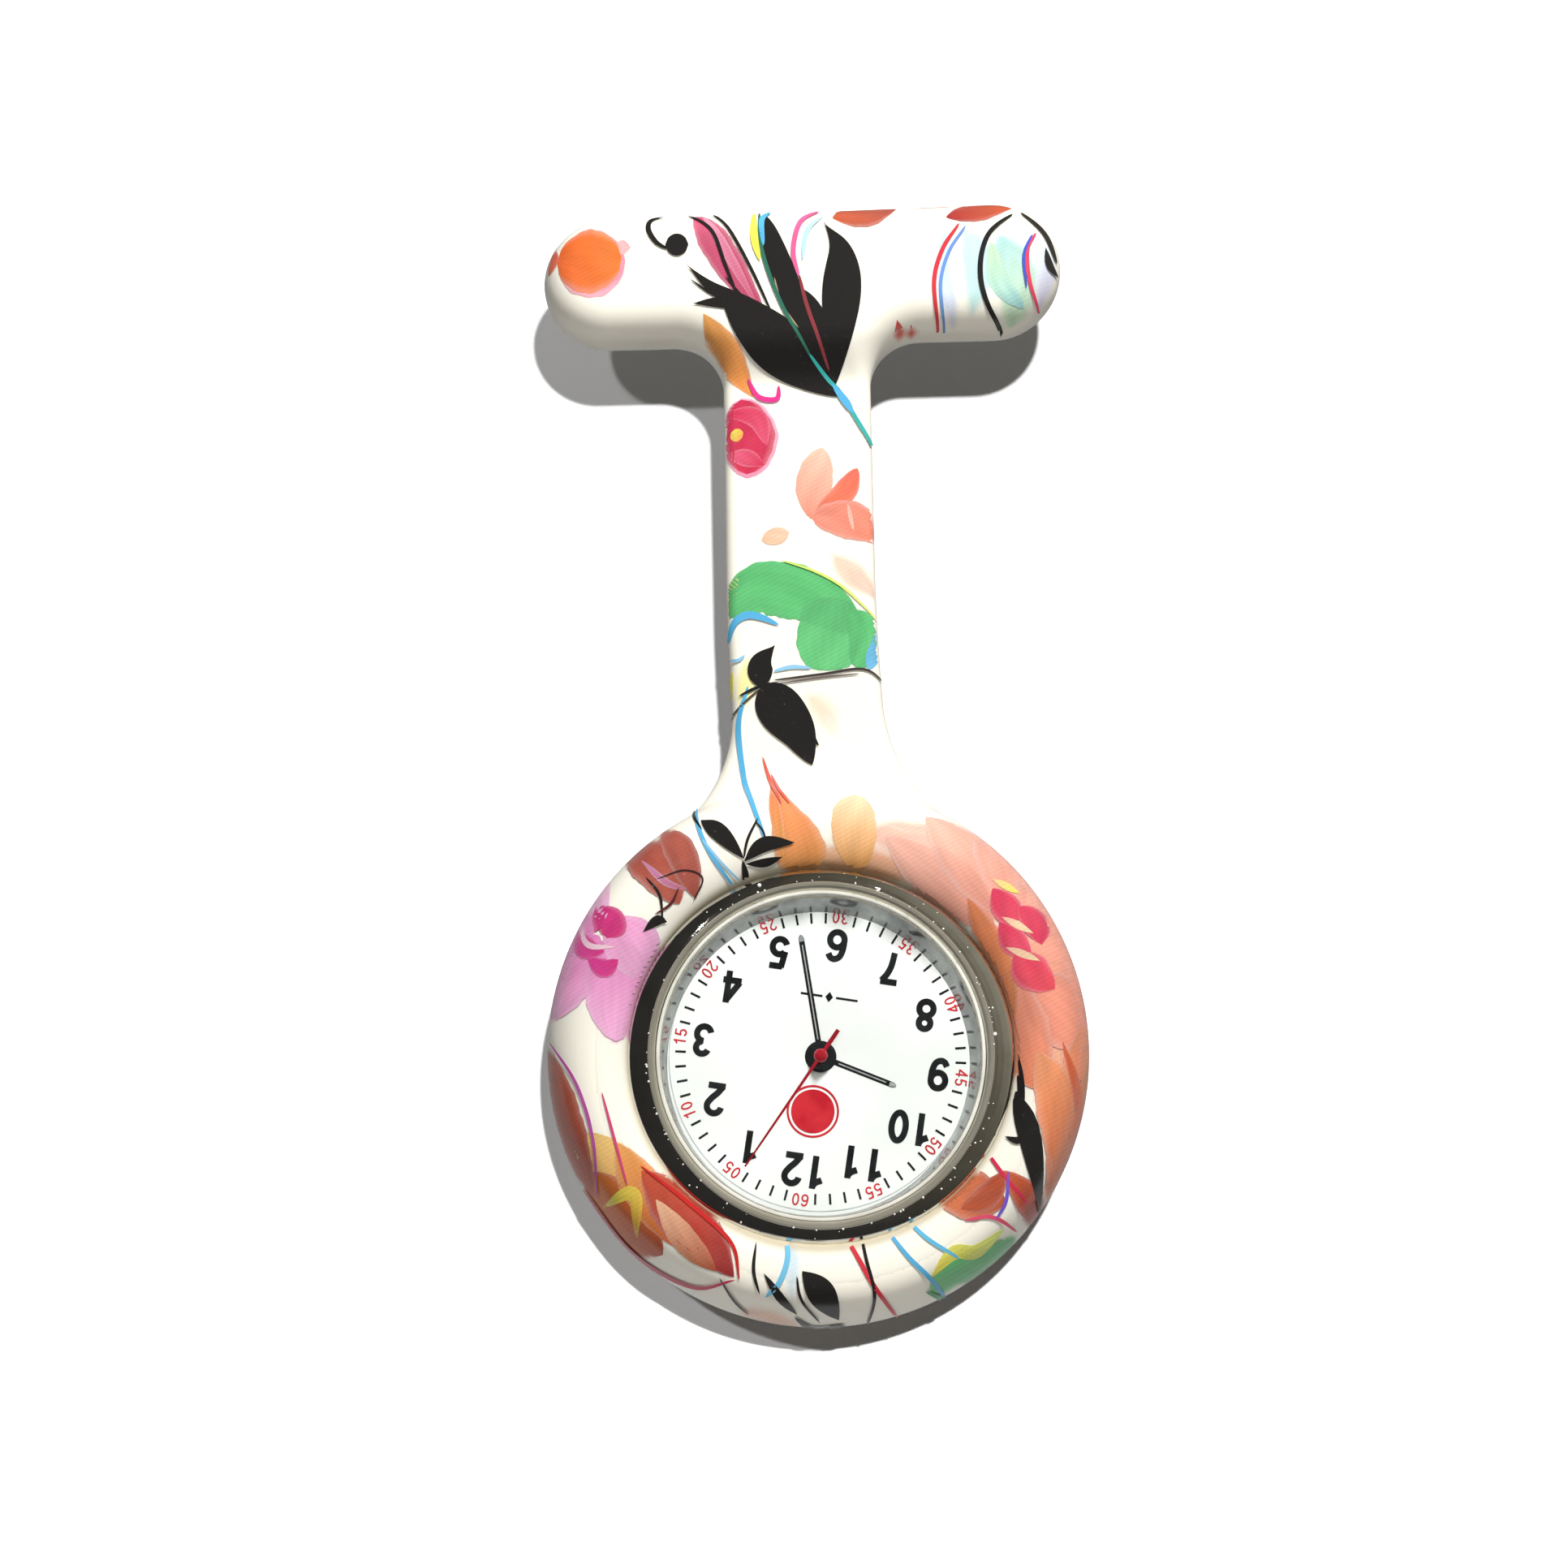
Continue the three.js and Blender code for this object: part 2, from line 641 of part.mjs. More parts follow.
function coilCore() {
  const [[a0], [, b1]] = STATOR_LEGS;
  return block([a0 + 0.1, b1 - 0.1], [COIL.y - 0.2, COIL.y + 0.2], [COIL.w - 0.4, COIL.w + 0.4]);
}

function coilWinding() {
  const { left, right, radius, y, w } = COIL;
  const flange = radius + 0.12;
  const body = turnedAlongX([
    [0, left], [flange, left], [flange, left + 0.25], [radius, left + 0.25],
    [radius, right - 0.25], [flange, right - 0.25], [flange, right], [0, right],
  ], y, w, 20);
  return cut(body, block([left - 1, right + 1], [y - 0.28, y + 0.28], [w - 0.48, w + 0.48]));
}

function rotor() {
  const magnet = pin(0.8, -3.2, -2.7, ROTOR, 20);
  const arbor = pin(0.12, -4.2, -1.6, ROTOR, 8);
  const mesh = gapTowards(ROTOR_LINE + 180, 6);
  return join(magnet, arbor, gear(6, ROTOR_PINION_RADIUS, mesh, -2.6, -1.95, ROTOR));
}

function intermediateWheel() {
  const arbor = pin(0.12, -4.2, -1.6, INTERMEDIATE, 8);
  const wheel = gear(30, INTERMEDIATE_RADIUS, ROTOR_LINE, -2.12, -1.97, INTERMEDIATE);
  const mesh = gapTowards(ROTOR_LINE + 180, 6);
  const pinion = gear(6, INTERMEDIATE_PINION_RADIUS, mesh, -2.6, -2, INTERMEDIATE);
  return join(arbor, wheel, pinion);
}

// The sweep second arbor runs inside the cannon pinion to the second hand.
function secondWheel() {
  const arbor = pin(0.12, -6.7, -1.6, [0, 0], 8);
  const wheel = gear(36, SECOND_WHEEL_RADIUS, ROTOR_LINE, -2.5, -2.35);
  const pinion = gear(6, TRAIN_DISTANCE / 9, 100, -3.05, -2.45);
  return join(arbor, wheel, pinion);
}

function thirdWheel() {
  const arbor = pin(0.12, -4.2, -1.6, THIRD, 8);
  const wheel = gear(48, TRAIN_DISTANCE * 8 / 9, gapTowards(280, 48), -2.95, -2.8, THIRD);
  const pinion = gear(6, TRAIN_DISTANCE / 8.5, 280, -3.5, -2.85, THIRD);
  return join(arbor, wheel, pinion);
}

// The cannon pinion carries the minute hand and drives the motion work in front of the plate.
function centreWheel() {
  const wheel = gear(45, TRAIN_DISTANCE * 7.5 / 8.5, gapTowards(100, 45), -3.45, -3.3);
  const pipe = pin(0.46, -6.2, -3.25, [0, 0], 20);
  const cannon = gear(8, MOTION_DISTANCE / 4, 225, -4.35, -4.15);
  return cut(join(wheel, pipe, cannon), pin(0.22, -8, 0, [0, 0], 16));
}

function minuteWheel() {
  const wheel = gear(24, MOTION_DISTANCE * 3 / 4, gapTowards(45, 24), -4.32, -4.18, MINUTE_WHEEL);
  const pinion = gear(6, MOTION_DISTANCE / 5, 45, -4.62, -4.25, MINUTE_WHEEL);
  return cut(join(wheel, pinion), pin(0.27, -8, 0, MINUTE_WHEEL, 12));
}

function hourWheel() {
  const wheel = gear(24, MOTION_DISTANCE * 4 / 5, gapTowards(225, 24), -4.6, -4.45);
  const pipe = pin(0.76, -5.78, -4.47, [0, 0], 20);
  return cut(join(wheel, pipe), pin(0.56, -8, 0, [0, 0], 20));
}

// ---- Stem and crown -----------------------------------------------------------------------------

function windingStem() {
  const groove = [4.7, 5.7];
  return turnedAlongX([
    [0, 4.3],
    [STEM_RADIUS, 4.3],
    [STEM_RADIUS, groove[0]],
    [0.2, groove[0]],
    [0.2, groove[1]],
    [STEM_RADIUS, groove[1]],
    [STEM_RADIUS, 15.7],
    [0, 15.7],
  ], STEM_Y, 0, 12);
}

function settingLever() {
  const arm = outline([[4.9, -0.4], [5.6, -0.4], [6, 0.2], [6, 1.4], [5.2, 1.4]]);
  const post = pin(0.16, -4.1, -3.45, [5.2, -0.28], 10);
  return join(plate(arm, -3.65, -3.4), post);
}

function crown() {
  const teeth = 20;
  const shape = new THREE.Shape();
  for (let i = 0; i < 2 * teeth; i += 1) {
    const [x, z] = polar(CROWN_RADIUS - 0.14 * (i % 2), (180 / teeth) * i);
    if (i === 0) {
      shape.moveTo(x, z);
    } else {
      shape.lineTo(x, z);
    }
  }
  const geometry = new THREE.ExtrudeGeometry(shape, { depth: 1.7, bevelEnabled: false });
  geometry.rotateY(Math.PI / 2);
  geometry.translate(CASE_RADIUS + 0.3, STEM_Y, 0);
  return cut(solidOf(geometry), stemHole(STEM_RADIUS + 0.1, 14, 15.85));
}

// ---- Assembly -----------------------------------------------------------------------------------

const watch = new THREE.Group();

piece(watch, 'holder_top', silicone, holderTop());
piece(watch, 'holder_ring', silicone, holderRing());
piece(watch, 'pin_base_plate', brushedSteel, pinBasePlate());
piece(watch, 'needle', polishedSteel, needle());
piece(watch, 'needle_rivet', brushedSteel, needleRivet());
piece(watch, 'safety_catch', brushedSteel, safetyCatch());

// The head is built with 12 o'clock along +Z and 3 o'clock along +X, then turned upside down.
const head = new THREE.Group();
head.position.set(0, 0, RING_Z);
head.rotation.y = THREE.MathUtils.degToRad(180 + DIAL_TURN);
watch.add(head);

piece(head, 'case', polishedSteel, caseBody());
piece(head, 'crystal', glass, crystal());
piece(head, 'crystal_gasket', whitePlastic, crystalGasket());
piece(head, 'rehaut_ring', greyPlastic, rehautRing());
piece(head, 'dial', whitePaint, dial());
piece(head, 'hour_hand', blackPaint, hourHand());
piece(head, 'minute_hand', blackPaint, minuteHand());
piece(head, 'second_hand', redPaint, secondHand());
piece(head, 'movement_ring', whitePlastic, movementRing());
piece(head, 'main_plate', blackPlastic, mainPlate());
piece(head, 'train_bridge', brushedSteel, trainBridge());
BRIDGE_PILLARS.forEach((place, i) => {
  piece(head, `bridge_screw_${i + 1}`, brushedSteel, movementScrew(place, BRIDGE_BACK + 0.04));
});
piece(head, 'clamp_screw', brushedSteel, movementScrew(CLAMP_POST, BATTERY.back + 0.36));
piece(head, 'battery', polishedSteel, batteryCell());
piece(head, 'battery_clamp', brass, batteryClamp());
piece(head, 'circuit_board', greenBoard, circuitBoard());
piece(head, 'chip_cap', blackPlastic, chipCap());
piece(head, 'quartz_can', polishedSteel, quartzCan());
piece(head, 'stator', brushedSteel, stator());
piece(head, 'coil_core', brushedSteel, coilCore());
piece(head, 'coil_winding', copper, coilWinding());
piece(head, 'rotor', sealRubber, rotor());
piece(head, 'intermediate_wheel', whitePlastic, intermediateWheel());
piece(head, 'second_wheel', brass, secondWheel());
piece(head, 'third_wheel', brass, thirdWheel());
piece(head, 'centre_wheel', brass, centreWheel());
piece(head, 'minute_wheel', brass, minuteWheel());
piece(head, 'hour_wheel', brass, hourWheel());
piece(head, 'setting_lever', brushedSteel, settingLever());
piece(head, 'winding_stem', brushedSteel, windingStem());
piece(head, 'crown', polishedSteel, crown());
piece(head, 'case_back', brushedSteel, caseBack());
piece(head, 'case_back_gasket', sealRubber, caseBackGasket());

export default watch;
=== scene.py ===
import json
import math
from collections import namedtuple

import bmesh
import bpy
import numpy as np
from mathutils import Matrix, Vector

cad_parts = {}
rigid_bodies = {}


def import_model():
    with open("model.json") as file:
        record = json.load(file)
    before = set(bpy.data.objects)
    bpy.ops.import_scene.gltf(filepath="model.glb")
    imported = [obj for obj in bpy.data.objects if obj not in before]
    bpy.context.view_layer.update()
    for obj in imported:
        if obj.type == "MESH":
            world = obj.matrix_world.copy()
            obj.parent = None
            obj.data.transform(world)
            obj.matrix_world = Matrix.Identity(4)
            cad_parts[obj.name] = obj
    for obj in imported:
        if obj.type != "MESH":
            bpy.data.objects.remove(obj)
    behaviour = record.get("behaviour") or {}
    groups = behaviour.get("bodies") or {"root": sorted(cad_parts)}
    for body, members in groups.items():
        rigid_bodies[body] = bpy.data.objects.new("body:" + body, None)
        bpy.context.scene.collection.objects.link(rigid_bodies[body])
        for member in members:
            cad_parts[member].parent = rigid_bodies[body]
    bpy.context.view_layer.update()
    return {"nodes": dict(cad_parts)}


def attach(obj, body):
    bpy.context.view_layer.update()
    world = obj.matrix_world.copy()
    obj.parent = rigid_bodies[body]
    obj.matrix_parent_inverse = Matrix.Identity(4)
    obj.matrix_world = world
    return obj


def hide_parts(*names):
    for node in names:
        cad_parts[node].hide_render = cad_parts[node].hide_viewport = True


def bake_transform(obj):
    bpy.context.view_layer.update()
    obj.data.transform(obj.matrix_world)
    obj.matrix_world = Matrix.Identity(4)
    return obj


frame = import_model()

MM = 0.001                      # every shape below is written in millimetres

# ---- Camera: the photograph's viewing angle ----

CAMERA_AT = (-1.4326, -176.9018, -74.9106)
CAMERA_AXES = (                 # rows of the camera's rotation matrix
    (0.99982466, 0.01802300, 0.00508105),
    (0.00855188, -0.19809146, -0.98014623),
    (-0.01665866, 0.98001783, -0.19821085),
)
FOCAL_PIXELS = 2900
FRAME_PIXELS = 1932
SENSOR = 36.0

camera_data = bpy.data.cameras.new("camera")
camera_data.sensor_width = SENSOR
camera_data.lens = SENSOR * FOCAL_PIXELS / FRAME_PIXELS
camera_data.clip_start = 0.01
camera_data.clip_end = 10.0
camera = bpy.data.objects.new("camera", camera_data)
bpy.context.scene.collection.objects.link(camera)
camera.matrix_world = Matrix.Translation(Vector(CAMERA_AT) * MM) @ Matrix(CAMERA_AXES).to_4x4()
bpy.context.scene.camera = camera
bpy.context.scene.view_settings.view_transform = "Standard"

# ---- Shared sizes ----

BAR_END = 5.2                   # radius of the T-bar's round ends, seen from the front
STRAP_HALF = 5.7
RING_Z = -60.5                  # the watch's axis runs along Y through x = 0, z = RING_Z
RING_RADIUS = 20.0
BORE = 14.8                     # radius of the ring's hole
FILLET_TOP = 4.0                # between T-bar and strap
FILLET_RING = 12.0              # between strap and ring
FILLET_X = STRAP_HALF + FILLET_RING
FILLET_Z = RING_Z + math.sqrt((RING_RADIUS + FILLET_RING) ** 2 - FILLET_X ** 2)
HEAD_TURN = math.radians(9.3)   # the watch head sits a little turned in its ring
HEAD_COS, HEAD_SIN = math.cos(HEAD_TURN), math.sin(HEAD_TURN)


def srgb(code):
    """Six hexadecimal digits of sRGB to linear."""
    out = []
    for i in (0, 2, 4):
        c = int(code[i:i + 2], 16) / 255
        out.append(c / 12.92 if c <= 0.04045 else ((c + 0.055) / 1.055) ** 2.4)
    return tuple(out)


def head_point(u, w, y):
    """Dial coordinates, u towards 3 o'clock and w towards 12, to the object's own frame."""
    return (-HEAD_COS * u - HEAD_SIN * w, y, RING_Z + HEAD_SIN * u - HEAD_COS * w)


# ---- Materials ----

class Shader:
    """The nodes of a material or world. Where a value is a socket it is linked, or else set."""

    def __init__(self, owner):
        owner.use_nodes = True
        self.owner, self.tree = owner, owner.node_tree

    def feed(self, socket, value):
        if isinstance(value, bpy.types.NodeSocket):
            self.tree.links.new(value, socket)
        else:
            socket.default_value = (*value, 1) if socket.type == "RGBA" else value

    def node(self, kind, *inputs, **values):
        """A new node. Unnamed values go to its inputs in order, named ones to a socket or property."""
        n = self.tree.nodes.new("ShaderNode" + kind)
        for key, value in values.items():
            name = key.replace("_", " ")
            if name in n.inputs:
                self.feed(n.inputs[name], value)
            else:
                setattr(n, key, value)
        for socket, value in zip(n.inputs, inputs):
            self.feed(socket, value)
        return n

    def math(self, operation, a, b):
        return self.node("Math", a, b, operation=operation).outputs[0]

    def vector(self, operation, a, *b):
        """The result of a vector operation, which is a plain number for a length or dot product."""
        n = self.node("VectorMath", a, *b, operation=operation)
        return n.outputs["Value" if operation in ("LENGTH", "DOT_PRODUCT") else "Vector"]

    def coords(self, **mapping):
        """Object coordinates, moved, turned or scaled as the Mapping node does it."""
        at = self.node("TexCoord").outputs["Object"]
        return self.node("Mapping", at, **mapping).outputs["Vector"]

    def noise(self, vector, scale, detail=3.0, roughness=0.5):
        return self.node("TexNoise", vector, Scale=scale, Detail=detail, Roughness=roughness).outputs["Fac"]

    def ramp(self, factor, *stops):
        n = self.node("ValToRGB", factor)
        bar = n.color_ramp
        while len(bar.elements) < len(stops):
            bar.elements.new(0.5)
        for element, (at, colour) in zip(bar.elements, stops):
            element.position = at
            element.color = (*colour, 1)
        return n.outputs["Color"]

    def span(self, factor, low, high, **more):
        return self.node("MapRange", factor, To_Min=low, To_Max=high, **more).outputs["Result"]

    def mix(self, factor, a, b, blend="MIX"):
        n = self.node("Mix", factor, data_type="RGBA", blend_type=blend)
        self.feed(n.inputs[6], a)
        self.feed(n.inputs[7], b)
        return n.outputs[2]

    def attribute(self, name, output):
        return self.node("Attribute", attribute_name=name).outputs[output]

    def surface(self, bump, **sockets):
        """Fills in the Principled shader. The bump is (height, strength, distance in metres)."""
        height, strength, distance = bump
        sockets["Normal"] = self.node("Bump", Height=height, Strength=strength, Distance=distance).outputs[0]
        for key, value in sockets.items():
            self.feed(self.tree.nodes["Principled BSDF"].inputs[key.replace("_", " ")], value)
        return self.owner

    def blended(self, factor, first, second):
        """Leaves out the Principled shader, and shows a mix of these two."""
        self.tree.nodes.remove(self.tree.nodes["Principled BSDF"])
        both = self.node("MixShader", factor, first.outputs[0], second.outputs[0]).outputs[0]
        self.feed(self.tree.nodes["Material Output"].inputs["Surface"], both)
        return self.owner


def new_material(name):
    return Shader(bpy.data.materials.new(name))


def metal(name, dark, light, roughness, grain, stretch=(1, 1, 1), bump=0.000004, metallic=1):
    """Metal with fine stretched grain: colour, roughness and height all follow it."""
    s = new_material(name)
    fine = s.noise(s.coords(Scale=stretch), grain, 4)
    both = s.mix(0.35, fine, s.noise(s.coords(), 220, 2))
    return s.surface((fine, 0.4, bump), Metallic=metallic,
                     Base_Color=s.ramp(both, (0.3, srgb(dark)), (0.7, srgb(light))),
                     Roughness=s.span(fine, roughness * 0.7, roughness * 1.4))


def turned_metal(name, dark, light, roughness, rings, metallic=1):
    """Metal with the fine circular lines that a lathe or a rotary brush leaves round the watch's axis."""
    s = new_material(name)
    flat = s.vector("MULTIPLY", s.coords(Location=(0, 0, -RING_Z * MM)), (1, 0, 1))
    radius = s.node("CombineXYZ", s.vector("LENGTH", flat)).outputs["Vector"]
    lines = s.noise(radius, rings, 3, 0.6)
    both = s.mix(0.3, lines, s.noise(s.coords(), 260, 3))
    return s.surface((lines, 0.5, 0.000006), Metallic=metallic,
                     Base_Color=s.ramp(both, (0.3, srgb(dark)), (0.7, srgb(light))),
                     Roughness=s.span(lines, roughness * 0.7, roughness * 1.4))


def plastic(name, dark, light, roughness, scale=900.0, coat=0.0):
    """Moulded plastic, rubber, paint or lacquer: clouded colour and a fine grain."""
    s = new_material(name)
    at = s.coords()
    grain = s.noise(at, scale * 3, 2)
    return s.surface((grain, 0.3, 0.000006), Coat_Weight=coat, Coat_Roughness=0.08,
                     Base_Color=s.ramp(s.noise(at, scale * 0.25, 3), (0.35, srgb(dark)), (0.65, srgb(light))),
                     Roughness=s.span(grain, roughness * 0.85, roughness * 1.15))


SILICONE_WHITE = srgb("f3eedf")


def silicone_material():
    """White silicone under the print, whose transfer film is printed in fine rows of dots."""
    s = new_material("printed_silicone")
    colour, ink = s.attribute("print", "Color"), s.attribute("ink", "Fac")
    at = s.coords()
    slanted = s.node("Mapping", at, Rotation=(0, math.radians(28), 0)).outputs["Vector"]
    rows = s.node("TexWave", slanted, wave_type="BANDS", bands_direction="Z", Scale=1050.0,
                  Distortion=0.8, Detail=1.0, Detail_Scale=40)
    cloud = s.noise(at, 700, 4, 0.65)
    washed = s.mix(s.span(cloud, 0.0, 0.06), colour, SILICONE_WHITE)
    darker = s.mix(1.0, washed, (0.92, 0.90, 0.92), "MULTIPLY")
    dotted = s.mix(s.math("MULTIPLY", rows.outputs["Fac"], ink), washed, darker)
    return s.surface((s.noise(at, 2600, 2), 0.25, 0.000008), Base_Color=s.mix(ink, colour, dotted),
                     Roughness=s.span(cloud, 0.26, 0.36), Specular_IOR_Level=0.45,
                     Subsurface_Weight=0.12, Subsurface_Radius=(1.0, 0.75, 0.5),
                     Subsurface_Scale=0.0015, Coat_Weight=0.25, Coat_Roughness=0.12)


def ink_material():
    """Solid ink, with a few pinholes where the silicone shows through."""
    s = new_material("printed_ink")
    speck = s.noise(s.coords(), 5200, 3, 0.7)
    pinholes = s.ramp(speck, (0.66, (0, 0, 0)), (0.78, (0.16, 0.16, 0.16)))
    return s.surface((speck, 0.2, 0.000004), Coat_Weight=0.25, Coat_Roughness=0.12,
                     Base_Color=s.mix(pinholes, s.attribute("print", "Color"), SILICONE_WHITE),
                     Roughness=s.span(speck, 0.28, 0.42))


def chrome_material():
    s = new_material("polished_chrome")
    at = s.coords()
    smear = s.noise(at, 340, 3, 0.6)
    return s.surface((s.noise(at, 4200, 2), 0.15, 0.000003), Metallic=1,
                     Base_Color=s.ramp(smear, (0.3, srgb("cecbc2")), (0.7, srgb("e8e6de"))),
                     Roughness=s.span(smear, 0.035, 0.085))


def glass_material():
    """Reflects like glass at edge-on angles, the same from inside the pane as from outside."""
    s = new_material("mineral_glass")
    smear = s.noise(s.coords(Scale=(1, 1, 4)), 160, 3, 0.6)
    facing = s.node("LayerWeight", Blend=0.5).outputs["Facing"]
    return s.blended(s.span(s.math("POWER", facing, 4.5), 0.022, 0.7),
                     s.node("BsdfTransparent", Color=(0.985, 0.99, 0.985)),
                     s.node("BsdfGlossy", Color=(1, 1, 1), Roughness=s.span(smear, 0.015, 0.05)))


SILICONE = silicone_material()
INK = ink_material()
CHROME = chrome_material()
GLASS = glass_material()
REHAUT = metal("rehaut_grey", "707374", "b2b5b3", 0.12, 700, metallic=0.5)
BEZEL_INNER = turned_metal("bezel_inner", "a6a18f", "d0cbba", 0.24, 4200, metallic=0.6)
DIAL_PAINT = plastic("dial_paint", "eef2ed", "fafbf8", 0.5, 500)
DIAL_BLACK = plastic("dial_black_print", "141618", "26282a", 0.5, 2500)
DIAL_RED = plastic("dial_red_print", "be202e", "d6343e", 0.5, 2500)
DIAL_GREY = plastic("dial_grey_print", "a8acac", "c4c7c6", 0.5, 2500)
HAND_BLACK = plastic("hand_lacquer", "0e1012", "1e2123", 0.22, 1500, 0.5)
HAND_LIGHT = metal("hand_bare_metal", "969a98", "ced1ce", 0.2, 3000, metallic=0.25)
HAND_RED = plastic("hand_red_lacquer", "84101e", "a81a2a", 0.16, 1500, 0.6)
STEEL_BRUSHED = metal("steel_brushed", "96989a", "c8cacc", 0.26, 900, (0.06, 1, 1))
STEEL_POLISHED = metal("steel_polished", "c4c6c8", "e4e5e6", 0.11, 500, (0.1, 1, 1))
BACK_STEEL = turned_metal("steel_turned", "a8aaac", "d4d5d6", 0.2, 5200)
BRASS = metal("train_brass", "b08c42", "debc6c", 0.26, 1600)
COPPER = metal("coil_copper", "964e28", "ce7a48", 0.3, 2600, (6, 1, 1), 0.00002)
WHITE_PLASTIC = plastic("nylon_white", "e2e2da", "f0f0ea", 0.48)
BLACK_PLASTIC = plastic("plate_black", "121214", "222225", 0.42)
BOARD_GREEN = plastic("board_green", "185432", "2c784a", 0.35, 1800, 0.3)
ROTOR_GREY = plastic("rotor_ferrite", "343538", "505154", 0.35, 1800)
# white specks that stand for glints on the bezel: painted glints
PAINTED_GLINT = plastic("bezel_painted_glint", "f0eee8", "fcfbf8", 0.3, 2000)
SEAL = plastic("seal_rubber", "161618", "262628", 0.6)
GASKET = plastic("seal_white", "ceccc0", "e8e6dc", 0.42)


# ---- Mesh helpers ----

def mesh_object(name, points, faces, material, smooth_angle=None):
    """A smooth-shaded mesh object from millimetre points."""
    mesh = bpy.data.meshes.new(name)
    mesh.from_pydata([tuple(p) for p in np.asarray(points, float) * MM], [],
                     [tuple(int(i) for i in f) for f in faces])
    mesh.materials.append(material)
    mesh.shade_smooth()
    if smooth_angle is not None:
        mesh.set_sharp_from_angle(angle=math.radians(smooth_angle))
    mesh.update()
    obj = bpy.data.objects.new(name, mesh)
    bpy.context.scene.collection.objects.link(obj)
    return obj


def place(obj, body, slot, *nodes):
    """The piece rides on a body, and the CAD nodes it stands for are hidden. Its slot is not used."""
    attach(obj, body)
    if nodes:
        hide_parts(*nodes)


def arc(cx, cy, rx, ry, start, end, steps=22):
    """Points along an ellipse, from one angle to another in degrees."""
    angles = [math.radians(start + (end - start) * i / steps) for i in range(steps + 1)]
    return [(cx + rx * math.cos(a), cy + ry * math.sin(a)) for a in angles]


def softened(profile, radius=0.12, steps=3):
    """The closed profile with each corner rounded off."""
    pts = [np.array(p, float) for p in profile]
    out = []
    for i, corner in enumerate(pts):
        before, after = pts[i - 1], pts[(i + 1) % len(pts)]
        a, b = before - corner, after - corner
        la, lb = np.hypot(*a), np.hypot(*b)
        if corner[0] <= 1e-6 or la < 1e-6 or lb < 1e-6:
            out.append(corner)
            continue
        r = min(radius, la * 0.45, lb * 0.45)
        p, q = corner + a / la * r, corner + b / lb * r
        for t in (k / steps for k in range(steps + 1)):
            out.append((1 - t) ** 2 * p + 2 * t * (1 - t) * corner + t * t * q)
    return out


def turned(profile, segments=144, centre=(0.0, RING_Z)):
    """Points and faces of a closed (radius, y) profile turned about an axis along Y."""
    points, faces, columns = [], [], []
    for r, y in profile:
        if r < 1e-6:
            columns.append([len(points)] * segments)
            points.append((centre[0], y, centre[1]))
        else:
            columns.append(list(range(len(points), len(points) + segments)))
            for k in range(segments):
                angle = 2 * math.pi * k / segments
                points.append((centre[0] + r * math.cos(angle), y, centre[1] + r * math.sin(angle)))
    for a, b in zip(columns, columns[1:] + columns[:1]):
        if a[0] == a[1] and b[0] == b[1]:
            continue
        for k in range(segments):
            n = (k + 1) % segments
            faces.append(list(dict.fromkeys((a[k], b[k], b[n], a[n]))))
    return points, faces


def remade(obj, change):
    """Runs change on the object's mesh as a bmesh."""
    bm = bmesh.new()
    bm.from_mesh(obj.data)
    change(bm)
    bm.to_mesh(obj.data)
    bm.free()
    return obj


def outward(obj):
    """Makes the mesh's normals point out."""
    return remade(obj, lambda bm: bmesh.ops.recalc_face_normals(bm, faces=bm.faces))


def turned_object(name, profile, material, segments=144, radius=0.12, smooth_angle=None):
    points, faces = turned(softened(profile, radius), segments)
    return outward(mesh_object(name, points, faces, material, smooth_angle))


def merged(parts):
    """One (points, faces) pair from several."""
    points, faces = [], []
    for part_points, part_faces in parts:
        faces += [[i + len(points) for i in f] for f in part_faces]
        points += part_points
    return points, faces


def joined(name, parts, material, smooth_angle=None):
    return outward(mesh_object(name, *merged(parts), material, smooth_angle))


FRONT, SIDE, UP = (0, 2, 1), (2, 0, 1), (0, 1, 2)     # outlines in (x, z), (y, z) and (x, y)


def loft(rings):
    """Rings of points joined by quads, with a face at each end."""
    n = len(rings[0])
    last = (len(rings) - 1) * n
    faces = [[i + k, i + (k + 1) % n, i + n + (k + 1) % n, i + n + k]
             for i in range(0, last, n) for k in range(n)]
    faces += [list(range(n)), list(range(last + n - 1, last - 1, -1))]
    return [point for ring in rings for point in ring], faces


def prism(outline, low, high, plane):
    """An outline in one of the three planes above, extruded across it from low to high."""
    return loft([[tuple((a, b, h)[k] for k in plane) for a, b in outline] for h in (low, high)])


def bevelled(obj, width):
    """Rounds the sharp edges with a bevel modifier."""
    modifier = obj.modifiers.new("edges", "BEVEL")
    modifier.width = width * MM
    modifier.segments = 2
    modifier.limit_method = "ANGLE"
    modifier.angle_limit = math.radians(35)
    modifier.harden_normals = False
    return obj


# ---- Silicone holder: one moulded skin ----

def smoothstep(t):
    t = np.clip(t, 0, 1)
    return t * t * (3 - 2 * t)


def smooth_min(a, b, k):
    h = np.clip(0.5 + 0.5 * (b - a) / k, 0, 1)
    return b * (1 - h) + a * h - k * h * (1 - h)


def from_axis(p):
    """Distance of each point from the watch's axis."""
    return np.hypot(p[:, 0], p[:, 2] - RING_Z)


# the ring's section, (radius, y), front at negative y
RING_SECTION = np.array(
    [(BORE, -7.4), (BORE, -0.95), (15.15, -0.6)]
    + arc(18.2, -2.4, 1.8, 1.8, 90, 0, 6)
    + arc(16.2, -4.4, 3.8, 4.6, 0, -90, 14)
    + [(15.7, -8.96), (15.35, -8.86), (15.05, -8.68), (14.88, -8.4)]
)
LIP_FRONT = [
    (13.5, -7.5), (13.5, -7.85), (13.55, -8.0), (13.64, -8.14), (13.78, -8.28), (13.96, -8.42),
    (14.2, -8.56), (14.5, -8.7), (14.85, -8.82), (15.2, -8.91), (15.55, -8.965), (15.9, -8.995),
    (16.2, -8.99), (16.5, -8.9),
]
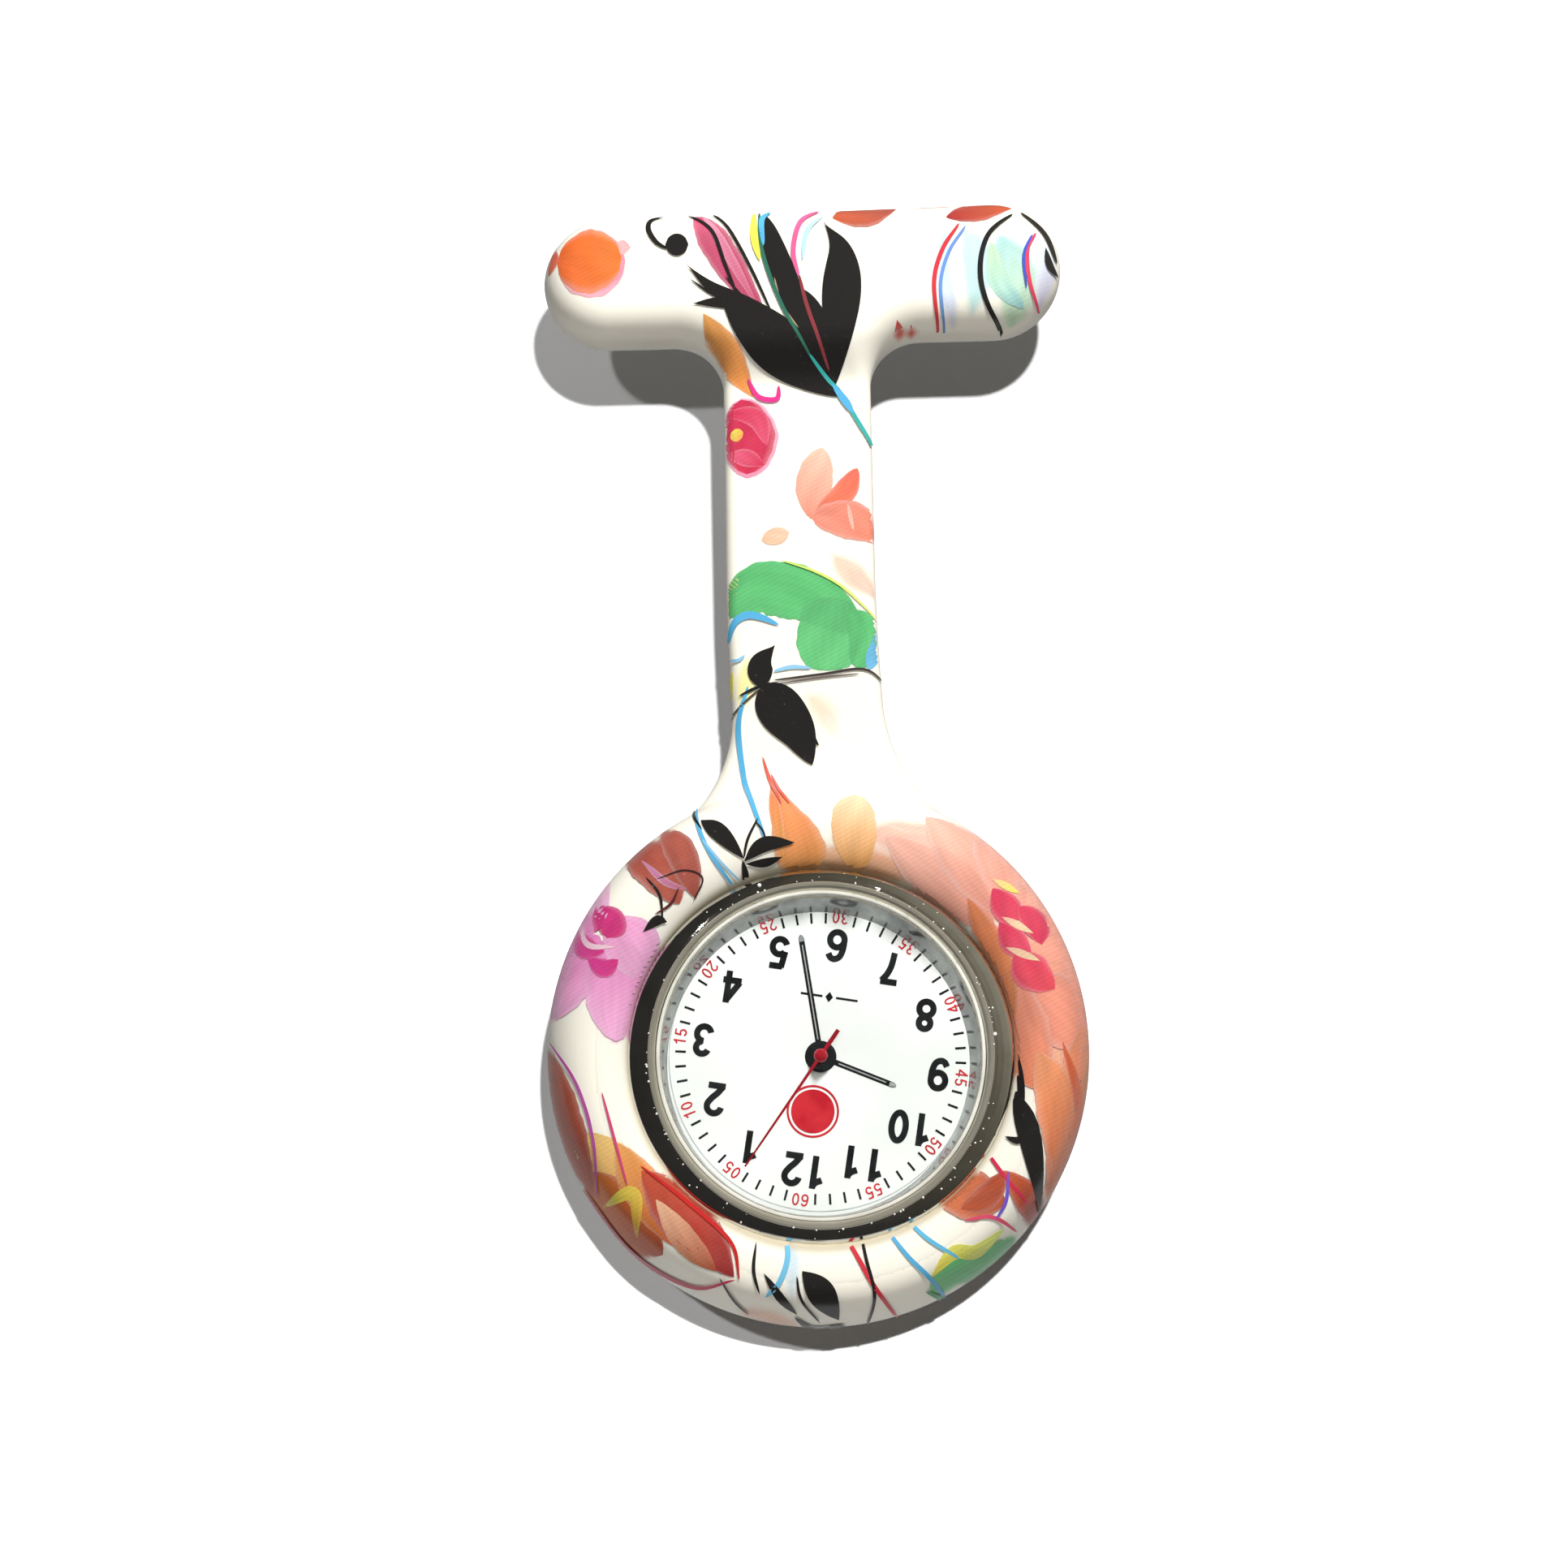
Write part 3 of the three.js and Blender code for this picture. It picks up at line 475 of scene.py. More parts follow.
# plan of the T-bar and the strap
BAR_MIDDLE, BAR_REACH = -0.375, 14.945      # centre of the bar, and from there to its round ends' centres
BAR_RISE, BAR_SLANT = 0.5, 0.015
BAR_SWELL, BAR_TAPER = 0.08, 0.0075
STRAP_SHIFT = 0.8               # the strap sits this much to one side, less near the ring
SHIFT_FOOT, SHIFT_FADE = -46, 22
STRAP_FOOT = -48.0              # where the web inside the large fillets takes over
# thickness: the bar is thicker than the strap, with rounder edges
BAR_FADE = 4.2                  # over this distance from the bar, its thickness fades to the strap's
FRONT_Y, BAR_FRONT = -5.0, -1.6
BACK_Y, BAR_BACK = -2.0, 1.25
EDGE, BAR_EDGE = 1.0, 1.8
STRAP_CLEAR = 17.5              # the strap's slab ends this far from the watch's axis
# pocket for the crown in the ring, in dial coordinates
POCKET_U, POCKET_W, POCKET_FRONT = (12, 18), 2.5, -6.7


def oval(x, z):
    """How far the soft lip is pulled out of round: wider at the sides than at the top and bottom."""
    r = np.maximum(np.hypot(x, z - RING_Z), 1)
    c2 = (x / r) ** 2
    return (0.34 * c2 - 0.12 * (1 - c2)) * (1 - smoothstep((r - 13.9) / 2.2)) * smoothstep((r - 12.5) / 0.9)


def section_distance(r, y, polygon):
    """Signed distance to a closed polygon in the (radius, y) plane."""
    best = np.full(r.shape, 1e9)
    sign = np.ones(r.shape)
    for (ar, ay), (br, by) in zip(polygon, np.roll(polygon, 1, axis=0)):
        er, ey = br - ar, by - ay
        wr, wy = r - ar, y - ay
        t = np.clip((wr * er + wy * ey) / (er * er + ey * ey), 0, 1)
        best = np.minimum(best, (wr - er * t) ** 2 + (wy - ey * t) ** 2)
        c1, c2, c3 = y >= ay, y < by, er * wy > ey * wr
        sign = np.where((c1 & c2 & c3) | (~c1 & ~c2 & ~c3), -sign, sign)
    return sign * np.sqrt(best)


def holder_distance(x, y, z):
    """Signed distance, nearly, to the silicone moulding."""
    # the soft bar has a slight slant and swell, and the strap sits a little to one side
    bar = (np.hypot(np.maximum(np.abs(x - BAR_MIDDLE) - BAR_REACH, 0), z - BAR_RISE - BAR_SLANT * x)
           - BAR_END - BAR_SWELL - BAR_TAPER * x)
    ax = np.abs(x + STRAP_SHIFT * smoothstep((z - SHIFT_FOOT) / SHIFT_FADE))
    strap = np.maximum(ax - STRAP_HALF, np.maximum(z, STRAP_FOOT - z))
    corner = np.hypot(np.maximum(FILLET_TOP - bar, 0), np.maximum(FILLET_TOP - strap, 0))
    plan = np.maximum(FILLET_TOP, np.minimum(bar, strap)) - corner
    # web between strap and ring, inside the two large fillets
    away = np.hypot(ax - FILLET_X, z - FILLET_Z)
    nx, nz = FILLET_Z - RING_Z, -FILLET_X
    side = (ax * nx + (z - RING_Z) * nz) / math.hypot(nx, nz)
    plan = np.minimum(plan, np.maximum(np.maximum(FILLET_RING - away, z - FILLET_Z), side))
    thick = 1 - smoothstep(bar / BAR_FADE)
    front = FRONT_Y + BAR_FRONT * thick
    back = BACK_Y + BAR_BACK * thick
    edge = EDGE + BAR_EDGE * thick
    qa = plan + edge
    qb = np.abs(y - (front + back) / 2) - (back - front) / 2 + edge
    slab = np.minimum(np.maximum(qa, qb), 0) + np.hypot(np.maximum(qa, 0), np.maximum(qb, 0)) - edge
    r = np.hypot(x, z - RING_Z)
    slab = np.maximum(slab, STRAP_CLEAR - r)
    # the ring hangs a little high round the head
    sag = 0.24 + (0.17 * x - 0.6 * (z - RING_Z)) / np.maximum(r, 1)
    ring = section_distance(r + sag * smoothstep((r - 16.1) / 3.4), y, RING_SECTION)
    # strap and ring blend less at the outline, which would swell there
    body = smooth_min(slab, ring, 0.5 + 1.9 * smoothstep(-0.3 * plan))
    u = -HEAD_COS * x + HEAD_SIN * (z - RING_Z)
    w = -HEAD_SIN * x - HEAD_COS * (z - RING_Z)
    pocket = np.maximum(np.maximum(POCKET_U[0] - u, u - POCKET_U[1]),
                        np.maximum(np.abs(w) - POCKET_W, POCKET_FRONT - y))
    return np.maximum(body, -pocket)


def holder_gradient(p, unit=False, e=0.03):
    g = np.empty_like(p)
    for k in range(3):
        a, b = p.copy(), p.copy()
        a[:, k] += e
        b[:, k] -= e
        g[:, k] = holder_distance(*a.T) - holder_distance(*b.T)
    g = g / (2 * e)
    return g / np.maximum(np.linalg.norm(g, axis=1), 1e-6)[:, None] if unit else g


def settle(p, rounds):
    """Moves points on to the surface, by Newton steps."""
    for _ in range(rounds):
        g = holder_gradient(p)
        step = holder_distance(*p.T) / np.maximum((g * g).sum(1), 0.25)
        p = p - g * np.clip(step, -0.3, 0.3)[:, None]
    return p


def surface_net(low, high, h):
    """Quads round the zero level of holder_distance, one vertex per crossed cell."""
    axes = [np.arange(a, b + h, h) for a, b in zip(low, high)]
    gx, gy, gz = np.meshgrid(*axes, indexing="ij")
    f = holder_distance(gx.ravel(), gy.ravel(), gz.ravel()).reshape(gx.shape)
    inside = f < 0
    n = np.array(f.shape) - 1
    total = np.zeros((*n, 3))
    count = np.zeros(n)

    def at(field, c):
        return field[c[0]:c[0] + n[0], c[1]:c[1] + n[1], c[2]:c[2] + n[2]]

    # each cell's vertex is the mean of the places where its edges cross the surface
    for a in np.ndindex(2, 2, 2):
        for axis in range(3):
            if a[axis] == 1:
                continue
            b = tuple(a[k] + (k == axis) for k in range(3))
            fa, fb = at(f, a), at(f, b)
            crossed = at(inside, a) != at(inside, b)
            t = np.where(crossed, fa / np.where(fa == fb, 1, fa - fb), 0)
            for k in range(3):
                total[..., k] += np.where(crossed, a[k] + (t if k == axis else 0), 0)
            count += crossed
    active = count > 0
    index = -np.ones(n, int)
    index[active] = np.arange(active.sum())
    cell = np.stack(np.meshgrid(*[np.arange(m) for m in n], indexing="ij"), -1)
    points = (cell + total / np.maximum(count, 1)[..., None])[active] * h + np.array(low)
    # each crossed edge of the grid gets a quad through the four cells round it
    quads = []
    for axis in range(3):
        u, v = (axis + 1) % 3, (axis + 2) % 3
        first = tuple(slice(0, -1) if k == axis else slice(None) for k in range(3))
        second = tuple(slice(1, None) if k == axis else slice(None) for k in range(3))
        where = np.argwhere(inside[first] != inside[second])
        where = where[(where[:, u] > 0) & (where[:, v] > 0) & (where[:, u] < n[u]) & (where[:, v] < n[v])]
        ring = []
        for du, dv in ((0, 0), (-1, 0), (-1, -1), (0, -1)):
            c = where.copy()
            c[:, u] += du
            c[:, v] += dv
            ring.append(index[tuple(c.T)])
        q = np.stack(ring, 1)
        out = ~inside[tuple(where.T)]
        q[out] = q[out][:, ::-1]
        quads.append(q)
    return points, np.concatenate(quads)


def split_quads(points, quads):
    """Every quad becomes four."""
    edges = np.stack([quads, np.roll(quads, -1, axis=1)], -1).reshape(-1, 2)
    keys, back = np.unique(np.sort(edges, 1), axis=0, return_inverse=True)
    back = np.asarray(back).reshape(-1, 4) + len(points)
    middle = (points[keys[:, 0]] + points[keys[:, 1]]) / 2
    c = len(points) + len(middle) + np.arange(len(quads))
    out = [np.stack([quads[:, i], back[:, i], c, back[:, i - 1]], 1) for i in range(4)]
    return np.concatenate([points, middle, points[quads].mean(1)]), np.concatenate(out)


def front_of_holder(x, z):
    """Where a line along +Y first meets the holder, and whether it meets its front."""
    y = np.full(x.shape, -9.8)
    for _ in range(60):         # steps along the line
        d = holder_distance(x, y, z)
        y = np.where(y < 0, y + np.clip(d, -0.3, 2) * 0.9, y)
    hit = np.abs(holder_distance(x, y, z)) < 0.02
    r = np.hypot(x, z - RING_Z)
    lip_r = r - oval(x, z)
    on_lip = (lip_r > 13.7) & (r < 16.1)
    y = np.where(on_lip, np.minimum(y, np.interp(lip_r, *zip(*LIP_FRONT))), y)
    return y, (hit & (y < -2.2) & (r > 14.2)) | on_lip


# ---- Floral print: washes of colour in the skin, and crisp strokes on top ----

INK_GAIN = 0.86                 # the print is seen in strong light, so its own colours are deeper
PALETTE = {
    "orange": "f06822", "amber": "f6ac58", "peach": "faceb0", "salmon": "f3967c", "coral": "f49c84",
    "coral_pale": "fac0aa", "crimson": "de2c54", "rose": "ce5676", "pink": "ee88c4",
    "pink_pale": "f8b6dc", "magenta": "dc2882", "rust": "be522c", "brown": "a64a3a",
    "wine": "9e1e22", "leaf_green": "5cc074", "teal_pale": "a0d6d4", "blue_pale": "bae0f2",
    "sky": "5cb2de", "teal": "40b0aa", "yellow": "f6e85a", "black": "242221",
    "green_pale": "c8e8be",
}

# A wash: the points (x z) of its middle line | half width, colours at its two ends, fullness (below 1
# is blunt, above 1 is pointed, and a second number moves the widest place), softness of its edge,
# strength.
WASH_TABLE = """
# T-bar
-19 1.1, -16.6 .9, -13.9 1 | 2.85 f6aab0 f696aa .45 .3 .9
-14.8 2.2, -13.5 2.1 | .6 fabeba fab4b4 .9 .3 .9
-19.2 1.3, -16.8 1.15, -14.2 1.3 | 2.7 orange f88030 .45 .16 1
-19.9 3.2, -19.6 1.6, -19.9 .4 | .5 e86046 f0785a .8 .2 1
-8.6 5.4, -6.6 1.8, -3 -4.4 | 1.25 rose b23a60 .8 .14 1
-8 5.2, -6.2 1.9, -3.6 -3.2 | .42 f09eba rose .9 .2 .9
2.2 4.4, 4.6 5, 7.2 5.4 | 1.6 rust brown .8 .25 1
11 4.2, 13.4 4.8, 16.2 5.2 | 1.05 wine rust .8 .25 1
8.6 5.6, 11.5 6, 15 6.2 | .5 peach coral .6 .3 .9
10.9 3.2, 10.6 -.6, 11.4 -4.4 | .8 blue_pale d6dcf4 .7 .5 .8
12.2 3.2, 13.4 .6, 12.8 -3.6 | 1.3 blue_pale teal_pale .7 .6 .75
15 2.6, 16.4 -.6, 15.8 -4.6 | 1.5 teal_pale green_pale .6 .5 .9
14.4 2, 15 -1.4, 16.8 -3.2 | .8 green_pale teal_pale .7 .4 .9
17.2 3.4, 18.6 .4, 18 -3.2 | .8 blue_pale cec4e8 .7 .5 .7
7 -4, 7.5 -5.6 | .42 e24642 f0785a 1.2 .2 1
8.1 -4.2, 8.3 -5.6 | .34 e24642 f0785a 1.2 .2 1
# strap
-7.9 -3.4, -6.2 -6.4, -4.2 -9.7 | 1.15 amber f4964a .9 .22 1
-5.1 -9.8, -4.5 -12.9, -4.8 -16.2 | 2.15 f6aac4 f696b4 .5 .3 .9
-5.1 -9.9, -4.6 -12.9, -4.8 -15.9 | 2 d62452 crimson .5 .2 1
-6.4 -11, -4 -11.4, -3.2 -13.6 | .8 crimson ec5476 .8 .25 1
-6.4 -14.4, -4.8 -14.6, -3.4 -15.2 | .7 ee6486 crimson .9 .35 .8
-5.9 -12.5, -5.1 -13 | .55 yellow amber .4 .2 1
1.05 -13.9, .4 -16.6, .2 -19.6 | 1.4 faceb4 salmon .6 .3 .95
.4 -19.3, 2.5 -17.7, 3.7 -15.6 | .9 f68260 f06e56 .6 .25 1
.2 -19.4, 3 -19.7, 5.8 -21 | 1.5 f69680 f4886c .5 .3 .95
2.9 -18.4, 3.3 -20.6 | .16 fac4b0 fac4b0 .6 .3 .9
-3.7 -21.2, -1.6 -20.6 | .68 fac49e peach .6 .3 .9
1.6 -22.4, 3.3 -24.2, 5.4 -25.8 | .9 peach coral_pale .8 .5 .8
-6.3 -26.9, -6.1 -25.2, -5 -23.8 | .45 yellow f4f082 .6 .3 .9
-6.2 -27.2, -4.5 -25.3, -2.2 -25.1, .6 -26.1, 3.6 -28.4 | 2.2 leaf_green 5cc274 .42 .16 1
1.5 -25.8, 1.2 -28.8, 1.2 -31.5 | 2.35 leaf_green 68ca7e .22 .16 1
2.8 -27, 4 -28.8, 3.4 -31.4 | 1.25 5cc274 leaf_green .4 .16 1
-4.9 -30.4, -5.1 -32.4, -5.6 -34.4 | .7 faf496 yellow .7 .5 .7
5.2 -28.3, 4.6 -30.2, 4.2 -31.5 | .5 sky 78c4ec .5 .3 .9
-.4 -33.4, .8 -34.8, 1.6 -36.6 | .8 facca0 fdecdc .8 .8 .7
# ring, top
-3.75 -38.7, -2.5 -42.4, -1.3 -45.6, -.8 -47.8 | 1.9 f48860 f2a654 .9:1.9 .25 1
-3.3 -40.6, -2.9 -43.4, -2.4 -46.2 | .45 ec8254 amber .9 .3 .8
2.9 -41.6, 2.7 -44, 3 -47.4 | 1.65 fcdcb4 f6ac5c .5 .4 .95
-1 -46.4, 3 -46.6, 7 -47.8 | 1 fabe86 f6aa82 .5 .5 .9
# ring, right: a large coral flower
4 -44.6, 12.4 -47.4, 17 -54, 18.4 -62, 17.2 -70 | 2.6 coral_pale f49c6e .35 .8 .9
12.6 -51.6, 9.4 -48.6, 5 -45 | 2.1 coral coral_pale .8 .45 .95
13.4 -51, 11 -46.8, 8 -43.4 | 2.1 coral coral_pale .8 .45 .95
14.4 -51, 13.4 -46.6, 12 -43.4 | 2 coral coral_pale .8 .4 .95
15.2 -52.2, 16.6 -49.2, 17.4 -46.2 | 2.4 coral coral_pale .7 .4 .95
14.6 -54, 17.8 -53.4, 20.4 -51.8 | 2.4 f6a68c coral .7 .4 1
14.4 -55.6, 17.8 -58, 20.2 -60.6 | 2.7 coral f49476 .7 .4 1
13.6 -54.8, 14.2 -59.4, 15.4 -63.4 | 2.2 coral f08a60 .7 .4 1
10.8 -49.6, 12.8 -54, 13.8 -58.8 | 1.1 ec8654 e68c5a .8 .4 .9
12.6 -48.9, 13.6 -50.4, 14.4 -51.2 | 1.15 crimson e84660 .8 .2 1
14.4 -50.2, 15.6 -51.4, 16 -53 | 1.1 e63c5c crimson .8 .2 1
13 -51.4, 14 -52.8, 15.2 -53.6 | 1 crimson ec546e .8 .2 1
14 -53.6, 15.2 -55, 16.8 -56.2 | 1.35 ea4260 ee4858 .7 .2 1
12.6 -48.2, 14.6 -49.2 | .3 face96 yellow .9 .2 .9
13.2 -51, 15.4 -52.2 | .28 fcc8aa fadcaa .9 .2 .9
13.4 -53.2, 15.8 -54.2 | .28 fcc8aa fadcaa .9 .2 .9
19 -58.8, 19.2 -64, 16.2 -71.6 | 2.7 f29268 ee7c46 .65 .3 1
15.4 -60.6, 17 -65, 16.8 -70.2 | 1.8 f69e6c f08250 .8 .3 1
17.2 -60, 18.4 -64.6, 18 -68.4 | .5 e0602e e8703c .9 .2 .9
19.4 -61, 19 -65.6 | .42 cc923c e8703c .9 .25 .9
# ring, bottom right
7.4 -69.8, 10.2 -70.6, 12.8 -71.2 | 1.8 e08254 rust .75 .25 1
9.6 -71.6, 11.4 -70.8, 12.9 -69 | .9 rust b64a28 .8 .2 1
12.6 -69, 14.6 -71.2, 15.6 -73.6 | 1.1 ce5c30 wine .8 .25 1
7.4 -77.4, 9.4 -75.6, 11.4 -75.6, 13.6 -73.6 | 1.35 6ecc82 leaf_green .5 .2 1
7.4 -76.2, 9 -74.6, 10.6 -74.5, 12.6 -73 | .5 yellow e2f078 .7 .25 1
# ring, bottom and left
-6 -78.4, -4 -79.4, -1.8 -79.8 | 1 peach fabea0 .7 .6 .85
-2.2 -74, -2.4 -77.6 | .5 blue_pale deeef4 .7 .4 .7
-17.4 -66, -15 -68.4, -12 -69.8 | 1.9 fcd682 f8b060 .6 .4 .95
-16.8 -68.6, -14.4 -71.6, -11.4 -74.4 | 2.1 e87c28 rust .7 .25 1
-14.6 -66.6, -12.8 -69.8, -10.6 -73.8 | 1.4 amber e26c30 .8 .3 1
-12.8 -68.6, -9.8 -71.8, -6.4 -76 | 1.9 c84a28 wine .8 .2 1
-11.8 -70.6, -9.8 -73.4, -7.6 -75.6 | .9 f4be96 rust .8 .25 1
-15.6 -71, -13.4 -70.2, -13.2 -73.2 | .5 yellow f0b43c .8 .3 .8
-19.8 -59.6, -18.6 -64.8, -16.4 -70.2 | 1.55 c45c3e b6482c .8 .25 1
# ring, upper left: pink flower and brown leaves
-15.6 -51.2, -18.2 -49.4, -20.2 -49.4 | 2.2 pink pink_pale .65 .4 1
-15.8 -51.8, -18.2 -54.4, -19.6 -57.6 | 2.4 pink pink_pale .6 .35 1
-15.2 -52, -14.4 -55.4, -14.6 -59.4 | 2.5 pink pink_pale .55 .35 1
-15.2 -50.8, -13.4 -52.6, -12.2 -55 | 2 f4a0ce pink_pale .6 .4 .95
-15.4 -50.6, -16.6 -47.8, -16.4 -45.6 | 1.4 pink_pale facee2 .7 .4 .9
-16.2 -49.6, -15 -51, -15.2 -52 | 1.2 magenta d62c78 .6 .22 1
-17.6 -51.2, -16.8 -52.6, -15.4 -53 | .8 e24aa0 magenta .8 .2 1
-16.6 -53.4, -15.4 -54.2, -14.4 -53.6 | .7 e03892 magenta .8 .2 1
-17.4 -50.6, -16.6 -52.4, -14.6 -52.7 | .22 fccee2 fcd8de .8 .2 .95
-14.4 -44.6, -11.8 -46.6, -10 -49.6 | 1.75 brown b25442 .65 .2 1
-11.4 -43.6, -9.8 -46, -8.8 -49.2 | 1.15 b25848 brown .75 .2 1
-12.8 -46.2, -11 -48, -9.4 -48.6 | .28 ce82aa be6e82 .8 .2 .8
"""

# A stroke: the points of its middle line | half width, colour, fullness, layer above the skin.
STROKE_TABLE = """
# T-bar
-10.9 5.2, -11.9 4.6, -12.1 3.6, -11.5 2.5, -10.6 1.9 | .2 black .35 2
-10.8 2.25, -9 2.25 | .92 black .5 2
-9.2 5.3, -7.2 3.4, -6.2 .6, -5.2 -2.2 | .14 black .3 2
-7.2 5.3, -5.8 3.4, -4.2 .2, -2.6 -3.6 | .13 black .3 2
-6.2 -.4, -4.4 -2.6, -2.2 -3.8 | .1 black .4 2
-8.9 -.6, -7.2 -1.9, -5.6 -2.6 | .1 black .5 2
-8.7 -2.6, -6.6 -2.6, -4.9 -3.2 | .42 black 1.2 2
-7.3 -.9, -6.2 -2.2, -5 -3 | .3 black 1 2
-6.6 -1.3, -3.8 -4.5, -1 -7, 2.5 -9.8 | 2 black .8 3
-9.2 .6, -7 -1.5, -4.4 -2.6 | .55 black .9:1.5 3
-3 4.7, -2.3 1.4, -1 -2.6, .4 -6.6 | 1.05 black .75 3
1.5 3.9, 2.75 1.4, 2.7 -2.8, 1.9 -9.5 | 1.5 black 1.05:1.35 3
-.4 -1.6, .5 -4.4, 1.6 -8 | 1.15 black .6 3
-3.9 5.2, -3.9 2.8, -3.5 .8 | .3 yellow .6 4
-3.5 5.2, -3.3 1.6, -1.8 -3, .4 -7 | .15 346e5c .25 5
.2 -6.6, 1.6 -8.4, 2.6 -9.6, 3.8 -11.8, 5.6 -15.2 | .17 teal .25 5
1.9 -8.8, 2.9 -10.2, 3.5 -11.2 | .3 sky .7 6
-2.6 5.3, -3.3 4.2, -3.2 2 | .22 sky .4 5
-2.4 -.6, -1.9 -2.8, -.6 -4.8 | .1 aa966e .5 4
1.2 5.2, -.3 4, -.9 1.6, -.5 -.6 | .2 e86496 .3 5
-.5 -.4, .2 -3.4, 1.7 -7.8 | .15 8c3c42 .3 5
1.5 4.6, .2 3.2, -.2 .8 | .2 blue_pale .5 4
12 3.6, 10.6 1.4, 9.9 -1.4, 10.3 -5.4 | .17 d63c46 .3 2
12.5 3.4, 11.1 1.2, 10.4 -1.6, 10.8 -5.4 | .13 6e96d6 .3 2
16.2 4.4, 14.2 2.6, 13.5 -.2, 14 -3, 16 -5.6 | .2 black .3 2
16.8 4.7, 18.6 2.9, 19.5 .6 | .24 black .4 2
17.9 2.8, 17.2 1.2, 17.3 -1.4, 18.2 -3.6 | .15 e24664 .3 3
17.6 2.6, 16.9 .8, 17 -1.8 | .12 465abe .3 3
18.6 1.6, 18.9 .2, 19.6 -.4 | .32 black .9 3
# strap
-4.6 -8.2, -3.8 -9.7, -2.4 -9.9, -2.2 -8.8 | .22 e23c8c .4 2
-6.3 -29.2, -5.85 -27.7, -4.9 -27.1, -3.8 -27.3, -2.5 -27.9 | .3 sky .5 2
-6.2 -30.5, -5.6 -30.6, -5.1 -30.2 | .13 96cdec .4 2
-3 -31.5, -1.6 -31.2, -.1 -31.3 | .16 96cdec .4 2
-2.3 -22.8, .4 -23.8, 2.6 -25.2, 5 -27.7 | .1 deee78 .4 2
-3 -32.2, .6 -31.8, 3.7 -31.45, 5.3 -32.4 | .1 463e3c .25 3
-2.9 -32.5, .6 -32.05, 3.5 -31.8 | .07 6e6060 .25 3
-3.2 -32.3, -5 -33.7, -7.1 -36 | .08 50463c .25 3
-6 -31.4, -6.3 -34, -6.8 -36.6 | .2 yellow .5 2
-4.9 -32.6, -5.6 -35.4, -5.4 -39, -4.7 -42, -3.6 -45.4 | .2 sky .3 2
-2.85 -29.5, -3.9 -30.9, -3.9 -32.8 | .95 black .75:1.5 4
-5.6 -33.4, -4.4 -32.8, -3.2 -32.4 | .12 black .4 4
-3.7 -32.5, -2.6 -34.3, -1.2 -36.3, -.2 -38.8 | 1.75 black .75:.72 4
-1.3 -35.8, -.3 -36.6, .35 -37.3 | .26 black 1 4
# ring, top
-3.9 -38, -3.3 -40.2, -2.5 -42.4 | .14 e26054 .6 2
-3.3 -39.4, -2.6 -41.2, -1.9 -42.4 | .1 e26054 .6 2
-8.9 -41.2, -8.6 -43.8, -7.6 -46.2, -5.9 -48.6 | .15 sky .3 2
-8.3 -44.9, -7 -46.6, -5.6 -48 | .1 96c8e6 .3 2
-8.4 -43.4, -7.1 -44.4, -5.3 -46.4 | .66 black .9 4
-5.3 -46.6, -3.8 -45.4, -1.6 -45.3 | .55 black 1 4
-5.2 -46.8, -3.8 -46.7, -2.5 -46.3 | .3 black 1 4
-5.3 -46.4, -5 -45, -4.2 -43.4 | .1 black .4 4
-5.4 -46.5, -5.2 -47.6, -5.4 -48.4 | .24 black .8 4
-9 -41.6, -8.9 -43, -8.3 -44.2 | .1 black .4 4
-4.5 -43.6, -3.9 -44.4, -3.6 -45.4 | .07 black .3 4
# ring, right
14 -60.6, 14 -63.2, 14 -66.2 | .42 black .9 4
13.7 -63.4, 14.6 -66.6, 15.3 -72 | .8 black .95:.9 4
12.9 -66.6, 13.8 -66.9, 14.8 -66.2 | .26 black .9 4
15.4 -71.6, 15.7 -72.8, 16.8 -72 | .26 black .9 4
# ring, bottom
11 -66.6, 12.6 -69.2, 14.4 -71.4 | .14 d63254 .4 3
9.8 -72.4, 11.8 -72.2, 13.6 -73.2 | .14 de506e .4 3
13 -69, 12.8 -71, 12 -72.4 | .12 785ac8 .4 3
4 -72.4, 5.8 -74.8, 7.4 -76.4, 9.2 -78.6 | .16 sky .3 2
5.6 -72, 7.2 -73.6, 9.4 -75 | .15 68bee2 .3 2
7 -77.2, 8.8 -77.8, 11 -77.2, 13.4 -74.4 | .2 46a060 .4 3
1.2 -72.8, 2.4 -75, 3.4 -76.8, 5.2 -79.2 | .17 d63846 .3 2
2.5 -72.8, 2.9 -75, 3.4 -77.4, 2.9 -79.6 | .12 black .3 3
-2.9 -72.6, -2.6 -74.6, -3.2 -76.4, -4.2 -77.4 | .2 78c4e6 .35 2
-4.3 -75.8, -3.2 -77.4, -2 -78.6 | .3 black .9 4
-2.2 -78.8, -.8 -79.7, 1.4 -79.4 | .2 black .5 4
-1.6 -75.7, -.3 -77.2, .9 -79 | .95 black .9 4
-2 -76, -1.7 -77.6, -.4 -79.2 | .1 black .4 4
-4.8 -73.6, -5 -75.6, -4.6 -77.2 | .12 black .5 3
-7.4 -76, -6.4 -77.6, -5.4 -78.6 | .09 463c3c .4 3
# ring, left
-15.6 -63, -14.8 -66, -13.8 -69.6 | .1 d64678 .4 3
-17.2 -69.6, -13.6 -74.2, -9.4 -76.6, -6.3 -76.2 | .13 ce3c5a .35 3
-12.9 -68.2, -9.6 -70.8, -6.6 -73.6, -6 -76.2 | .15 c42828 .4 3
-19.5 -59.2, -17.4 -62.4, -16.2 -66.4, -16 -70.4 | .12 be5aaa .4 3
-12.4 -47.6, -11.4 -49, -11.2 -51 | .1 black .5 3
-11.8 -50.4, -10.6 -49.6, -10 -48.4 | .1 5a2828 .5 3
-12.6 -51.6, -11.6 -50.8, -10.9 -50.9 | .36 black 1 4
-11.6 -47.8, -9.6 -47.2, -8.3 -47.8, -9 -49.4 | .07 3c2828 .4 3
"""

Patch = namedtuple("Patch", "line half start end power skew soft strength layer")


